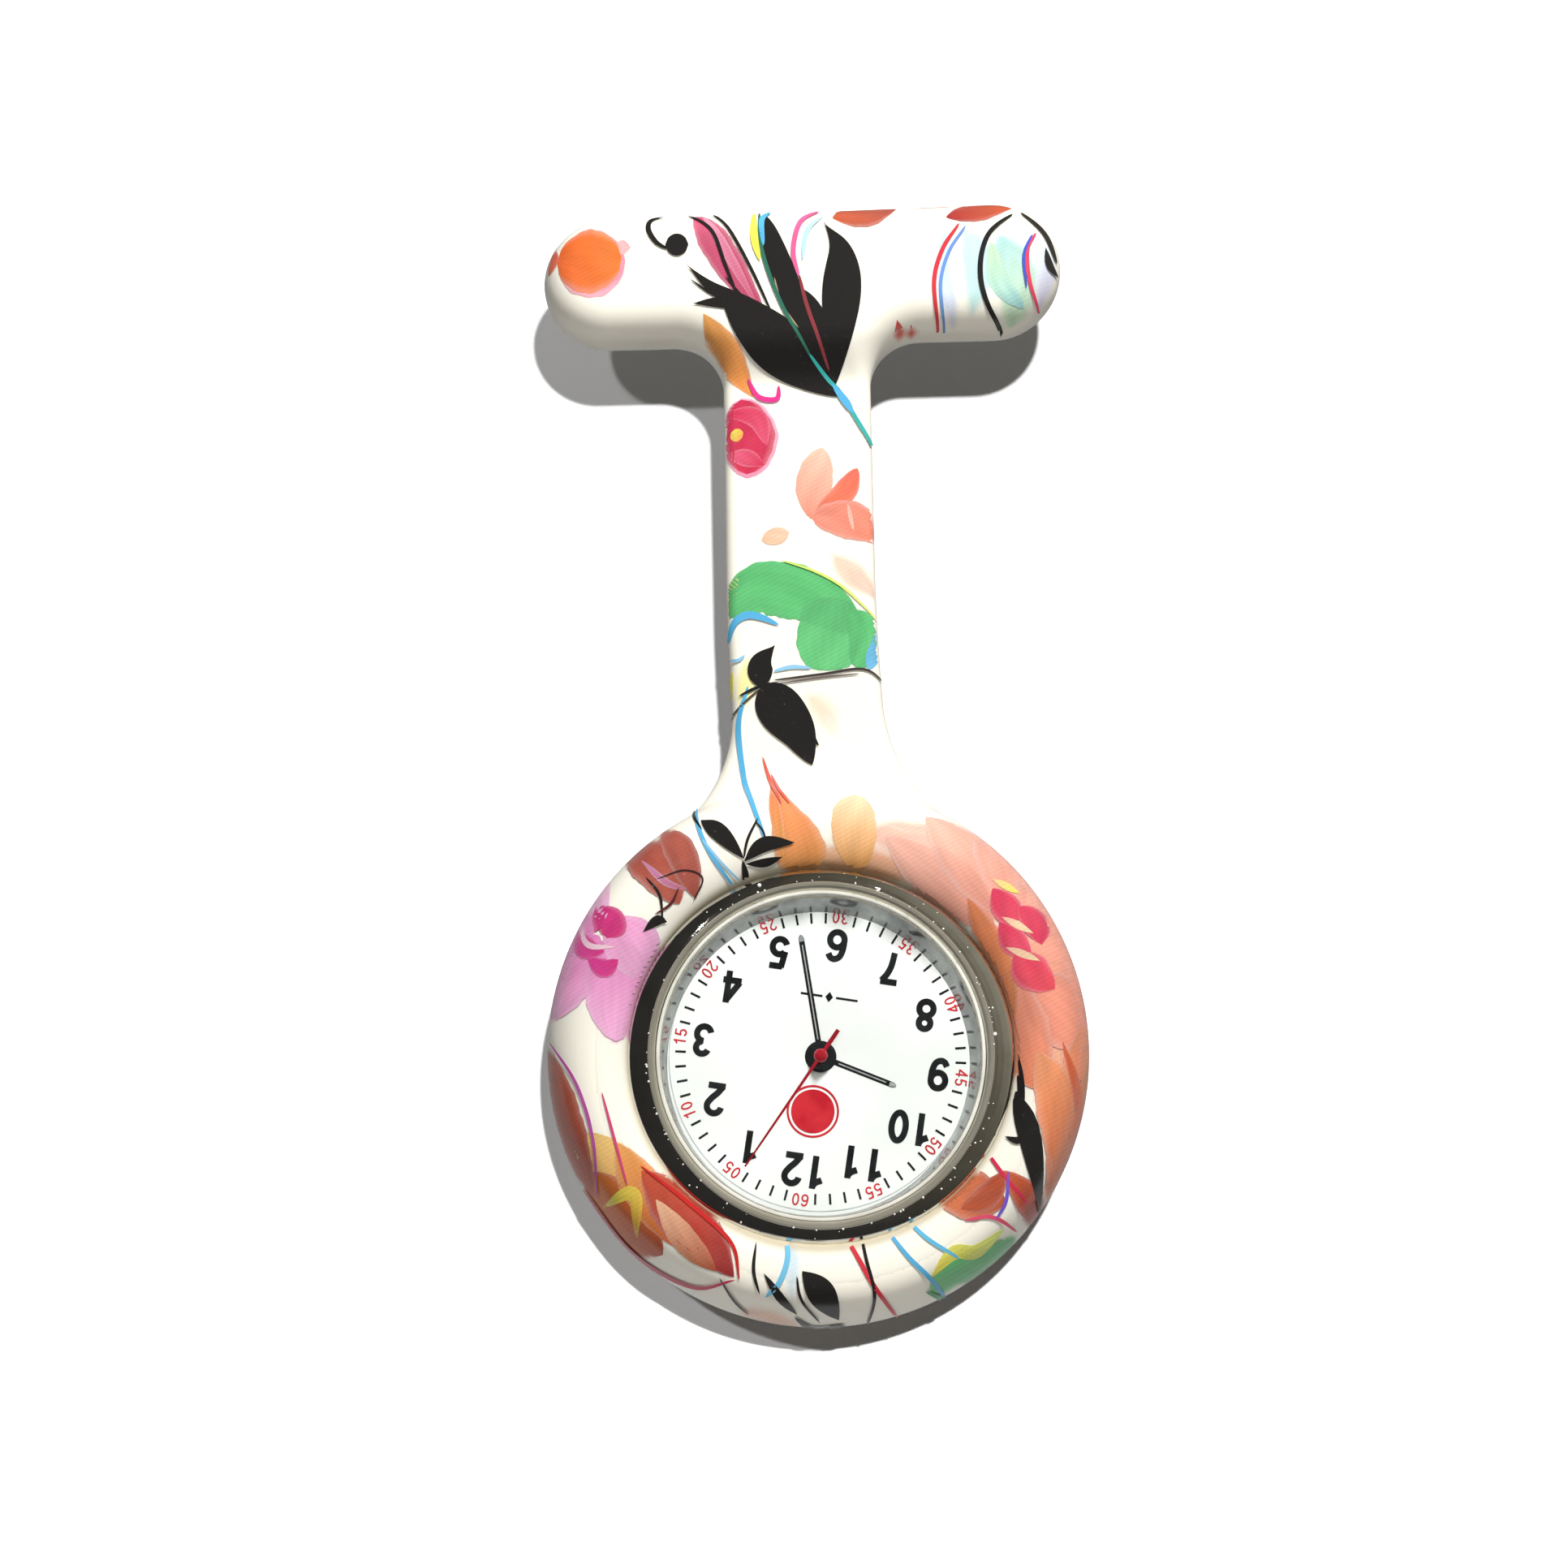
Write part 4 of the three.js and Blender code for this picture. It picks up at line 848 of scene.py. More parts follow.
def ink_colour(name):
    return tuple(v * INK_GAIN for v in srgb(PALETTE.get(name, name)))


def new_patch(line, half, start, end, fullness, soft=0, strength=1, layer=0):
    power, _, skew = fullness.partition(":")
    return Patch(line, float(half), ink_colour(start), ink_colour(end), float(power), float(skew or 1),
                 float(soft), float(strength), int(layer))


def read_table(table):
    """Each row's points, and the words after its bar."""
    for row in table.strip().splitlines():
        if not row.startswith("#"):
            line, rest = row.split("|")
            yield [tuple(map(float, point.split())) for point in line.split(",")], rest.split()


WASHES = [new_patch(line, *words) for line, words in read_table(WASH_TABLE)]
STROKES = [new_patch(line, half, colour, colour, power, layer=layer)
           for line, (half, colour, power, layer) in read_table(STROKE_TABLE)]


def smooth_line(points, steps):
    """Catmull-Rom curve through the points."""
    p = np.array(points, float)
    if len(p) == 2:
        t = np.linspace(0, 1, steps)[:, None]
        return p[0] * (1 - t) + p[1] * t
    ext = np.vstack([2 * p[0] - p[1], p, 2 * p[-1] - p[-2]])
    out = []
    for t in np.linspace(0, len(p) - 1 - 1e-9, steps):
        i = int(t)
        f = t - i
        a, b, c, d = ext[i:i + 4]
        out.append(0.5 * (2 * b + (c - a) * f + (2 * a - 5 * b + 4 * c - d) * f * f
                          + (3 * b - a - 3 * c + d) * f ** 3))
    return np.array(out)


def across_line(path, closed=False):
    """Unit vectors across a line of points, to its left."""
    step = np.gradient(path, axis=0)
    if closed:
        step[0] = step[-1] = path[1] - path[-2]
    step /= np.maximum(np.hypot(*step.T), 1e-9)[:, None]
    return np.stack([-step[:, 1], step[:, 0]], 1)


def fullness(t, patch):
    """Width of a petal or stroke along its length, 0..1."""
    return np.clip(np.sin(np.pi * np.clip(t, 0, 1) ** patch.skew), 0, 1) ** patch.power


def near_line(x, z, path, patch):
    """For each point: how far inside the patch's edge it is, and how far along."""
    best = np.full(x.shape, 1e9)
    along = np.zeros(x.shape)
    n = len(path) - 1
    for i in range(n):
        a = path[i]
        e = path[i + 1] - a
        t = np.clip(((x - a[0]) * e[0] + (z - a[1]) * e[1]) / max(e @ e, 1e-9), 0, 1)
        d = np.hypot(x - a[0] - e[0] * t, z - a[1] - e[1] * t)
        closer = d < best
        best = np.where(closer, d, best)
        along = np.where(closer, (i + t) / n, along)
    return patch.half * fullness(along, patch) - best, along


def wobble(x, z, seed):
    """Small smooth unevenness for the washes' edges."""
    s = 0.9 * seed
    return (0.5 * np.sin(1.9 * x + 1.3 * z + s) + 0.3 * np.sin(-3.1 * x + 2.3 * z + 2 * s)
            + 0.2 * np.sin(5.3 * x + 4.7 * z + 3 * s))


def crisp(wash):
    """Washes with a firm edge are thin sheets on the front. The others only tint the skin."""
    return wash.soft < 0.5 and wash.strength >= 0.8


def tint(patch, along):
    return np.array(patch.start) * (1 - along)[:, None] + np.array(patch.end) * along[:, None]


def print_colours(points, normals):
    """Colour and amount of ink at each vertex. Past the front face the print runs on down the side."""
    reach = np.clip(points[:, 1] + 5.2, 0, 4.5) * 0.8
    x, z = (points[:, k] + normals[:, k] * reach for k in (0, 2))
    colour = np.tile(np.array(SILICONE_WHITE), (len(x), 1))
    ink = np.zeros(len(x))
    back = (normals[:, 1] > 0.3) & (np.hypot(normals[:, 0], normals[:, 2]) < 0.95)
    covered = 0.22 * smoothstep((-normals[:, 1] - 0.5) / 0.12)      # where a sheet lies on the skin
    covered[from_axis(points) < 13.75] = 0

    def near(patch, allowed=True):
        path = smooth_line(patch.line, 9)
        low, high = path.min(0) - patch.half - 1, path.max(0) + patch.half + 1
        pick = np.flatnonzero((x > low[0]) & (x < high[0]) & (z > low[1]) & (z < high[1]) & allowed)
        return (pick, *near_line(x[pick], z[pick], path, patch))

    def paint(pick, shade, alpha):
        colour[pick] = colour[pick] * (1 - alpha)[:, None] + shade * alpha[:, None]

    for seed, wash in enumerate(WASHES):
        pick, depth, along = near(wash)
        depth = depth + wobble(x[pick], z[pick], seed) * min(0.1, wash.half * 0.08)
        if crisp(wash):
            depth = depth - covered[pick]
        soft = np.where(covered[pick] > 0.1, max(wash.soft, 0.25), max(wash.soft, 0.42) + 0.14 * reach[pick])
        alpha = smoothstep(0.5 + depth / soft / 1.4) * wash.strength
        veins = 0.06 * np.sin(along * 9 + depth * 7 + seed)
        paint(pick, np.clip(tint(wash, along) * (1 + veins[:, None]), 0, 1), alpha)
        ink[pick] = np.maximum(ink[pick] * (1 - alpha), alpha)
    for stroke in STROKES:
        if stroke.half >= 0.5:
            pick, depth, _ = near(stroke, (points[:, 1] > -4.6) | back)
            alpha = smoothstep(0.5 + depth / (0.55 + 0.14 * reach[pick]))
            paint(pick, np.array(stroke.start), alpha)
            ink[pick] = np.maximum(ink[pick], alpha)
    # none inside the ring's bore
    bore = (from_axis(points) < 15.3) * smoothstep((points[:, 1] + 8.2) / 0.5)
    bore = bore * smoothstep((-0.4 - points[:, 1]) / 0.4)
    colour = colour * (1 - bore)[:, None] + np.array(SILICONE_WHITE) * bore[:, None]
    return colour, ink * (1 - bore)


def set_print(obj, colour, ink):
    attribute = obj.data.attributes.new("print", "FLOAT_COLOR", "POINT")
    rgba = np.ones((len(colour), 4), np.float32)
    rgba[:, :3] = colour
    attribute.data.foreach_set("color", rgba.ravel())
    amount = obj.data.attributes.new("ink", "FLOAT", "POINT")
    amount.data.foreach_set("value", np.asarray(ink, np.float32))


def make_holder():
    points, quads = surface_net((-21.13, -9.63, -81.13), (20.8, 0.4, 6.9), 0.5)
    points, quads = split_quads(settle(points, 3), quads)
    points = settle(points, 2)
    obj = mesh_object("silicone_holder", points, quads, SILICONE)
    set_print(obj, *print_colours(points, holder_gradient(points, unit=True)))
    return obj


LEVEL_STEP = 0.0045             # between sheets that lie on each other


def ink_sheets(name, items, material, lift, steepest, veins):
    """Thin ink patches that lie on the skin, each a grid of quads round its middle line."""
    all_points, all_quads, all_colours = [], [], []
    start = 0
    laid = []                    # sheets laid so far: their middle lines, half widths and levels
    for order, patch in enumerate(items):
        half = patch.half
        rough = smooth_line(patch.line, 24)
        level = 0
        for other, other_half, other_level in laid:
            gap = np.hypot(*(rough[:, None, :] - other[None, :, :]).transpose(2, 0, 1)).min()
            if gap < half + other_half:
                level = max(level, other_level + 1)
        laid.append((rough, half, level))
        length = np.hypot(*np.diff(rough, axis=0).T).sum()
        rows = max(10, int(length / 0.22))
        across = max(3, int(2 * half / 0.2) + 2)
        path = smooth_line(patch.line, rows)
        side = across_line(path)
        t = np.linspace(0, 1, rows)
        width = half * np.maximum(fullness(t, patch), 0.02)
        width = width * (1 + veins * (0.5 * np.sin(2.3 * t * length + order)
                                      + 0.35 * np.sin(5.9 * t * length + 2 * order)))
        s = np.linspace(-1, 1, across)
        grid = path[:, None, :] + side[:, None, :] * (width[:, None] * s[None, :])[..., None]
        x, z = grid.reshape(-1, 2).T
        y, hit = front_of_holder(x, z)
        p = np.stack([x, y, z], 1)
        g = holder_gradient(p, unit=True)
        g[from_axis(p) < 16.3] = (0, -1, 0)
        hit = hit & (-g[:, 1] > steepest)
        sink = 1.3 * np.clip((-g[:, 1] - steepest) / 0.16, 0, 1) - 0.3     # the cut edge dips into the skin
        p = p + g * (lift * sink + LEVEL_STEP * level)[:, None]
        tt, ss = (a.ravel() for a in np.meshgrid(t, s, indexing="ij"))
        shade = 1 + veins * (np.sin(9 * tt + 5 * ss + order) + 0.6 * np.sin(21 * ss + 3 * tt + order))
        reddish = patch.start[0] > 2 * patch.start[1]
        rim = (3 * veins if reddish else 0) * smoothstep((np.abs(ss) - 0.7) / 0.3)[:, None]
        colours = np.clip(tint(patch, tt) * shade[:, None], 0, 1) * (1 - rim) + 0.8 * rim
        i = (np.arange(rows - 1)[:, None] * across + np.arange(across - 1)[None, :]).ravel()
        quads = np.stack([i, i + 1, i + across + 1, i + across], 1)
        quads = quads[hit[quads].all(1)]
        if not len(quads):
            continue
        used, back = np.unique(quads, return_inverse=True)
        quads = np.asarray(back).reshape(-1, 4)
        p = p[used]
        a, b, c = p[quads[0, :3]]
        if np.cross(b - a, c - a)[1] > 0:
            quads = quads[:, ::-1]
        all_points.append(p)
        all_quads.append(quads + start)
        all_colours.append(colours[used])
        start += len(p)
    obj = mesh_object(name, np.concatenate(all_points), np.concatenate(all_quads), material)
    set_print(obj, np.concatenate(all_colours), np.ones(start))
    return obj, lift + LEVEL_STEP * (max(k[2] for k in laid) + 2)


holder = make_holder()
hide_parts("holder_top", "holder_ring")
petals, above = ink_sheets("floral_petals", filter(crisp, WASHES), SILICONE, 0.018, 0.5, 0.05)
strokes, _ = ink_sheets("floral_strokes", sorted(STROKES, key=lambda k: k.layer), INK, above, -2, 0)
for piece in (holder, petals, strokes):
    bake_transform(piece)


def out_of_round(q):
    k = 1 + float(oval(q[0], q[2])) / max(math.hypot(q[0], q[2] - RING_Z), 1)
    return (q[0] * k, q[1], RING_Z + (q[2] - RING_Z) * k)


# the lip that holds the watch head, finely turned, and feathered into the skin near the crest
lip_points, lip_faces = turned([(15.6, -7.6), (14.9, -7.4), (13.55, -7.4)] + LIP_FRONT, 224)
lip_points = np.array([out_of_round(q) for q in lip_points], float)
lip = outward(mesh_object("holder_lip", lip_points, lip_faces, SILICONE))
lip_colour, lip_ink = print_colours(lip_points, np.array([v.normal for v in lip.data.vertices], float))
# painted shade: the lip's inner slope, towards the bore, is coloured a darker beige
lip_painted_shade = smoothstep((14.25 - from_axis(lip_points)) / 0.6)[:, None]
lip_colour = lip_colour * (1 - lip_painted_shade * (1 - np.array([[0.64, 0.6, 0.52]])))
set_print(lip, lip_colour, lip_ink)
place(lip, "ring", "silicone")

# ---- Watch head ----

BEZEL_BACK = -7.05              # in front of this y, the case follows the lip's oval
BAND_EDGE = 12.36               # inner edge of the bezel's polished band

case = turned_object("watch_case", [
    (13.3, -1.3), (14.3, -1.3), (14.5, -1.5), (14.5, -7.1), (13.48, -7.1), (13.48, -8.26),
    (13.2, -8.46), (12.9, -8.63), (12.6, -8.75), (12.38, -8.8), (12.34, -8.84), (12.25, -8.86),
    (12.05, -8.83), (11.9, -8.72), (11.85, -8.5), (11.85, -7.2), (11.45, -7.2), (11.45, -7.0),
    (12.3, -7.0), (12.3, -5.6), (13.3, -5.6),
], CHROME, 192, radius=0.03, smooth_angle=40)
for v in case.data.vertices:
    if v.co.y < BEZEL_BACK * MM:
        v.co = Vector(out_of_round(v.co / MM)) * MM
case.data.materials.append(BEZEL_INNER)
for face in case.data.polygons:
    c = face.center / MM
    if math.hypot(c.x, c.z - RING_Z) < BAND_EDGE and c.y < -7.0:
        face.material_index = 1
place(case, "head", "case_chrome", "case")


def make_specks():
    """Tiny white specks on the bezel, mostly along the edge of its polished band: painted glints."""
    rng = np.random.default_rng(7)
    parts = []
    for k in range(95):
        r = rng.normal(12.42, 0.07) if k % 3 else rng.uniform(12.5, 13.3)
        a = rng.uniform(0, 2 * math.pi)
        y = float(np.interp(r, (12.2, 12.36, 12.6, 12.9, 13.2, 13.48),
                            (-8.86, -8.83, -8.75, -8.63, -8.46, -8.26)))
        size = 0.17 if k in (3, 40) else rng.uniform(0.03, 0.1)
        rim = arc(0, 0, size, size, 0, 360, 10)[:-1]
        cx, cz = r * math.cos(a), RING_Z + r * math.sin(a)
        parts.append(loft([[(cx + p, y + 0.01, cz + q) for p, q in rim],
                           [(cx + 0.6 * p, y - 0.6 * size, cz + 0.6 * q) for p, q in rim]]))
    return joined("bezel_specks", parts, PAINTED_GLINT)


place(make_specks(), "head", "case_chrome")

crystal = turned_object("watch_crystal", [
    (0, -8.45), (11.3, -8.45), (11.5, -8.25), (11.5, -7.3), (0, -7.3),
], GLASS, 160, radius=0.06, smooth_angle=40)
place(crystal, "head", "crystal_glass", "crystal")

gasket = turned_object("glass_seal", [
    (11.54, -7.3), (11.54, -8.3), (11.78, -8.3), (11.78, -7.3),
], GASKET, 128, radius=0.05)
place(gasket, "head", "white_plastic", "crystal_gasket")

rehaut = turned_object("rehaut", [
    (11.5, -6.95), (12.2, -6.95), (12.2, -5.25), (10.98, -5.25), (11.0, -5.34),
], REHAUT, 160, radius=0.04, smooth_angle=40)
for v in rehaut.data.vertices:              # its foot sits a little off centre
    low = MM * smoothstep((v.co.y / MM + 6.95) / 1.6)
    v.co.x -= 0.17 * low
    v.co.z -= 0.35 * low
place(rehaut, "head", "grey_plastic", "rehaut_ring")

dial = turned_object("dial_plate", [
    (0.95, -5.2), (12.4, -5.2), (12.4, -4.85), (0.95, -4.85),
], DIAL_PAINT, 160, radius=0.03)
place(dial, "head", "dial_white", "dial")

# ---- Print on the dial: generic numbers, ticks, a plain disc and a plain rule ----

PRINT_TOP = -5.222
LAYER_STEP = 0.002              # between strokes that cross
DIGIT_WIDTH = 0.6
DIGIT_ADVANCE = 0.73
SIX = [arc(0.3, 0.315, 0.225, 0.24, 0, 360, 36),
       [(0.52, 0.77), (0.44, 0.89), (0.31, 0.925), (0.16, 0.83), (0.088, 0.6), (0.075, 0.34)]]
DIGITS = {                      # middle lines of the strokes, in a box 0.6 wide and 1 high
    "0": [arc(0.3, 0.5, 0.215, 0.425, 0, 360, 40)],
    "1": [[(0.36, 0), (0.36, 1)], [(0.37, 0.94), (0.27, 0.8), (0.1, 0.71)]],
    "2": [arc(0.3, 0.705, 0.22, 0.22, 175, -30) + [(0.4, 0.46), (0.24, 0.29), (0.1, 0.075)],
          [(0.025, 0.075), (0.56, 0.075)]],
    "3": [arc(0.29, 0.735, 0.19, 0.19, 165, -80), arc(0.29, 0.3, 0.22, 0.225, 95, -165)],
    "4": [[(0.43, 0), (0.43, 1)], [(0.43, 0.93), (0.07, 0.33)], [(0.02, 0.29), (0.6, 0.29)]],
    "5": [[(0.13, 0.925), (0.54, 0.925)], [(0.17, 0.96), (0.1, 0.45)],
          arc(0.29, 0.315, 0.225, 0.24, 140, -160)],
    "6": SIX,
    "7": [[(0.04, 0.925), (0.56, 0.925)], [(0.52, 0.9), (0.37, 0.68), (0.27, 0.4), (0.22, 0)]],
    "8": [arc(0.3, 0.745, 0.18, 0.18, 0, 360, 32), arc(0.3, 0.297, 0.22, 0.222, 0, 360, 36)],
    "9": [[(0.6 - a, 1 - b) for a, b in line] for line in SIX],
}


def numeral(text, height, weight):
    """Flat ribbons for a number, centred: points and faces in dial units."""
    points, faces = [], []
    width = DIGIT_ADVANCE * (len(text) - 1) + DIGIT_WIDTH
    layer = 0
    for index, digit in enumerate(text):
        for line in DIGITS[digit]:
            pts = np.array(line, float)
            closed = np.allclose(pts[0], pts[-1])
            if not closed and 2 < len(pts) < 12:
                pts = smooth_line(pts, 26)
            start = len(points)
            for q, n in zip(pts, across_line(pts, closed) * weight / 2):
                for sign in (1, -1):
                    x = q[0] + sign * n[0] + DIGIT_ADVANCE * index - width / 2
                    points.append((x * height, (q[1] + sign * n[1] - 0.5) * height, layer))
            faces += [[k, k + 1, k + 3, k + 2] for k in range(start, len(points) - 2, 2)]
            layer += 1
    return points, faces


def face_front(bm):
    for f in bm.faces:
        f.normal_update()
        if f.normal.y > 0:
            f.normal_flip()


def flat_print(parts, name, material):
    """Print on the dial: flat (points, faces) in dial coordinates, raised a little."""
    points, faces = merged(parts)
    points = [head_point(q[0], q[1], PRINT_TOP - (LAYER_STEP * q[2] if len(q) > 2 else 0)) for q in points]
    return remade(mesh_object(name, points, faces, material), face_front)


def dial_ring(inner, outer, steps):
    pts = []
    for i in range(steps + 1):
        a = math.radians(360 * i / steps)
        pts += [(r * math.sin(a), r * math.cos(a)) for r in (inner, outer)]
    return pts, [[2 * i, 2 * i + 1, 2 * i + 3, 2 * i + 2] for i in range(steps)]


def moved(part, du, dw, turn=0.0):
    """Turned clockwise by some degrees, then moved."""
    pts, faces = part
    c, s = math.cos(math.radians(turn)), math.sin(math.radians(turn))
    return [(q[0] * c + q[1] * s + du, -q[0] * s + q[1] * c + dw, *q[2:]) for q in pts], faces


NUMERAL_HEIGHT, NUMERAL_WEIGHT = 2.35, 0.195
NUMERAL_RADIUS, SIDE_NUMERAL_RADIUS = 8.25, 8.66      # 3 and 9 stand further out
SMALL_HEIGHT, SMALL_WEIGHT, SMALL_RADIUS = 0.9, 0.13, 10.32
EMBLEM_AT = 3.95
QUAD = [[0, 1, 2, 3]]

tick = ([(-0.08, 9.81), (0.08, 9.81), (0.08, 10.58), (-0.08, 10.58)], QUAD)
black_parts = [moved(tick, 0, 0, 6.0 * i) for i in range(60) if i % 5]
red_parts = []
for hour in range(1, 13):
    a = math.radians(30 * hour)
    r = SIDE_NUMERAL_RADIUS if hour in (3, 9) else NUMERAL_RADIUS
    black_parts.append(moved(numeral(str(hour), NUMERAL_HEIGHT, NUMERAL_WEIGHT),
                             r * math.sin(a), r * math.cos(a)))
    # the small numbers from 20 to 40 stand the other way up
    red_parts.append(moved(numeral(f"{5 * hour:02d}", SMALL_HEIGHT, SMALL_WEIGHT),
                           SMALL_RADIUS * math.sin(a), SMALL_RADIUS * math.cos(a),
                           30.0 * hour + (180 if 4 <= hour <= 8 else 0)))

# a plain red disc inside a fine ring, and a fine rule with a lozenge
disc = [(b, a) for a, b in arc(0, 0, 1.58, 1.58, 0, 360, 64)[:-1]]
red_parts.append(moved((disc, [list(range(64))]), 0, EMBLEM_AT))
red_parts.append(moved(dial_ring(1.74, 1.9, 96), 0, EMBLEM_AT))
rule = [(-2.1, -4.51), (-0.5, -4.51), (-0.5, -4.35), (-2.1, -4.35)]
black_parts += [(rule, QUAD), ([(-a, b) for a, b in rule], QUAD),
                ([(0, -4.05), (0.28, -4.43), (0, -4.81), (-0.28, -4.43)], QUAD)]

for name, parts, material, slot in (
    ("dial_numerals", black_parts, DIAL_BLACK, "hand_black"),
    ("dial_red_print", red_parts, DIAL_RED, "hand_red"),
    ("dial_edge_line", [dial_ring(11.0, 11.06, 160)], DIAL_GREY, "grey_plastic"),
):
    place(flat_print(parts, name, material), "head", slot)

# ---- Hands ----

def blade(outline, ridge, front, back, angle):
    """A hand with a low ridge down its middle: outline is (across, along) down one side."""
    a = math.radians(angle)
    edge = front + ridge
    return loft([[head_point(across * math.cos(a) + along * math.sin(a),
                             -across * math.sin(a) + along * math.cos(a), y)
                  for across, y in ((-half, back), (-half, edge), (0, front), (half, edge), (half, back))]
                 for half, along in outline])


def baton(half, start, end, tip=0.2):
    """A parallel-sided hand's outline with a rounded tip."""
    shoulder = end - tip * 2
    return [(half, start), (half, shoulder)] + [
        (half * math.sqrt(max(1 - t * t, 0.02)), shoulder + tip * 2 * t) for t in (0.3, 0.55, 0.75, 0.9, 1)]


def make_hand(name, node_name, body, length, front, angle, radius, inner, half=0.21, ridge=0.045):
    back = front + 0.15
    hub = turned(softened([(inner, back), (inner, front), (radius, front), (radius, back)], 0.05), 64)
    parts = [blade(baton(half, 0.9, length), ridge, front, back, angle), hub]
    place(joined(name, parts, HAND_BLACK, 30), body, "hand_black", node_name)
    # the lacquer is worn off in a line down the middle, and at the tip
    line = blade(baton(0.045, radius + 0.25, length - 0.75, 0.05), 0.004, front - 0.008, front + 0.03, angle)
    tip = blade(baton(half * 0.8, length - 0.5, length - 0.02), ridge * 0.9, front - 0.01, back, angle)
    place(joined(name + "_inlay", [line, tip], HAND_LIGHT, 30), body, "hand_black")


make_hand("hour_hand_blade", "hour_hand", "hours", 5.85, -5.75, 283.2, 1.15, 0.83)
make_hand("minute_hand_blade", "minute_hand", "minutes", 8.95, -6.15, 162.4, 0.97, 0.5)

second = blade([(0.15, -2.25), (0.16, -1.2), (0.12, -0.4), (0.11, 1.5), (0.085, 6.0), (0.06, 9.6)],
               0.03, -6.6, -6.45, 26.2)
second_cap = turned(softened([
    (0, -6.95), (0.22, -6.93), (0.4, -6.85), (0.5, -6.72), (0.53, -6.55), (0.53, -6.45), (0, -6.45),
], 0.03), 48)
place(joined("second_hand_blade", [second, second_cap], HAND_RED, 30), "seconds", "hand_red", "second_hand")

# ---- Case back and crown ----

case_back = turned_object("case_back_plate", [
    (0, -1), (12.1, -1), (12.1, -2.3), (12.65, -2.3), (12.65, -1), (14.1, -1), (14.1, -0.5),
    (13.8, -0.28), (13.5, -0.2), (12.0, -0.2), (11.9, -0.26), (11.6, -0.26), (11.5, -0.2),
    (8.3, -0.2), (8.22, -0.25), (8.05, -0.25), (7.97, -0.2), (0, -0.2),
], BACK_STEEL, 192, radius=0.04, smooth_angle=50)
place(case_back, "back", "brushed_steel", "case_back")

STEM_Y = -4.2                   # the crown's axis leaves the head at 3 o'clock
KNURLS = 28
CROWN_RADIUS = 2.0


def make_crown():
    """Knurled rim with a domed end."""
    rings = []
    for reach, scale in ((14.8, 0.93), (14.9, 1), (16.1, 1), (16.32, 0.94), (16.44, 0.8), (16.5, 0.55)):
        rings.append([])
        for k in range(4 * KNURLS):
            a = 2 * math.pi * k / (4 * KNURLS)
            deep = 0.5 - 0.5 * math.cos(KNURLS * a)
            r = CROWN_RADIUS * scale - (0.15 * deep ** 0.6 if scale == 1 else 0.05 * deep)
            rings[-1].append(head_point(reach, r * math.sin(a), STEM_Y + r * math.cos(a)))
    points, faces = loft(rings)
    faces[-1].reverse()         # wound this way, the end face gets a sharp edge
    return points, faces


crown = joined("crown_knurled", [make_crown()], STEEL_POLISHED, 40)
place(crown, "crown", "polished_steel", "crown")

# ---- Brooch pin ----

NEEDLE_Y = 2.3
HINGE_X = -13.2
CATCH_X = 13.0
EYE = 1.0                       # radius of the hinge's round ends


def cradle_outline(inner, outer, open_half):
    """Section of a hook round the needle, open towards +Y, in (y, z)."""
    return (arc(NEEDLE_Y, 0, outer, outer, open_half, 360 - open_half, 40)
            + arc(NEEDLE_Y, 0, inner, inner, 360 - open_half, open_half, 40))


def along_axis(profile, x, y, upright):
    """Closed (radius, distance) profile turned about a line through (x, y) along X, or Z if upright."""
    points, faces = turned(profile, 40, (0, 0))
    return [(x + p[0], y + p[2], p[1]) if upright else (x + p[1], y + p[0], p[2]) for p in points], faces


ear = ([(HINGE_X + EYE, -0.4)] + arc(HINGE_X, NEEDLE_Y, EYE, EYE, 0, 180, 24) + [(HINGE_X - EYE, -0.4)])
plate = arc(12.9, 0, 2.6, 2.6, -90, 90, 28) + arc(-12.9, 0, 2.6, 2.6, 90, 270, 28)
foot = [(-0.4, -0.6), (NEEDLE_Y - 0.95, -0.6), (NEEDLE_Y - 0.95, 0.6), (-0.4, 0.6)]
pin_plate = joined("pin_plate", [
    prism(plate, -0.8, 0.0, FRONT),
    prism(ear, 0.75, 1.25, UP), prism(ear, -1.25, -0.75, UP),
    prism(foot, CATCH_X - 1.8, CATCH_X - 0.95, SIDE),
    prism(foot, CATCH_X + 0.95, CATCH_X + 1.8, SIDE),
    prism(cradle_outline(0.75, 1.25, 50), CATCH_X - 1.8, CATCH_X + 1.8, SIDE),
], STEEL_BRUSHED, 40)
place(bevelled(pin_plate, 0.09), "top", "brushed_steel", "pin_base_plate")

tip = CATCH_X + 2.6
rod = along_axis(softened([
    (0, HINGE_X + 0.4), (0.45, HINGE_X + 0.4), (0.45, tip - 4.2), (0.43, tip - 3.4), (0.36, tip - 2.4),
    (0.24, tip - 1.3), (0.1, tip - 0.4), (0, tip),
], 0.2), 0, NEEDLE_Y, False)
eye = prism(arc(HINGE_X, NEEDLE_Y, EYE, EYE, 0, 360, 48)[:-1], -0.45, 0.45, UP)
needle = joined("pin_needle", [rod, eye], STEEL_POLISHED, 40)
place(bevelled(needle, 0.08), "needle", "polished_steel", "needle")

rivet = joined("pin_rivet", [along_axis(softened([
    (0, -1.68), (0.3, -1.66), (0.55, -1.55), (0.6, -1.4), (0.6, -1.35), (0.3, -1.35), (0.3, 1.35),
    (0.6, 1.35), (0.6, 1.4), (0.55, 1.55), (0.3, 1.66), (0, 1.68),
], 0.05), HINGE_X, NEEDLE_Y, True)], STEEL_BRUSHED, 40)
place(rivet, "top", "brushed_steel", "needle_rivet")

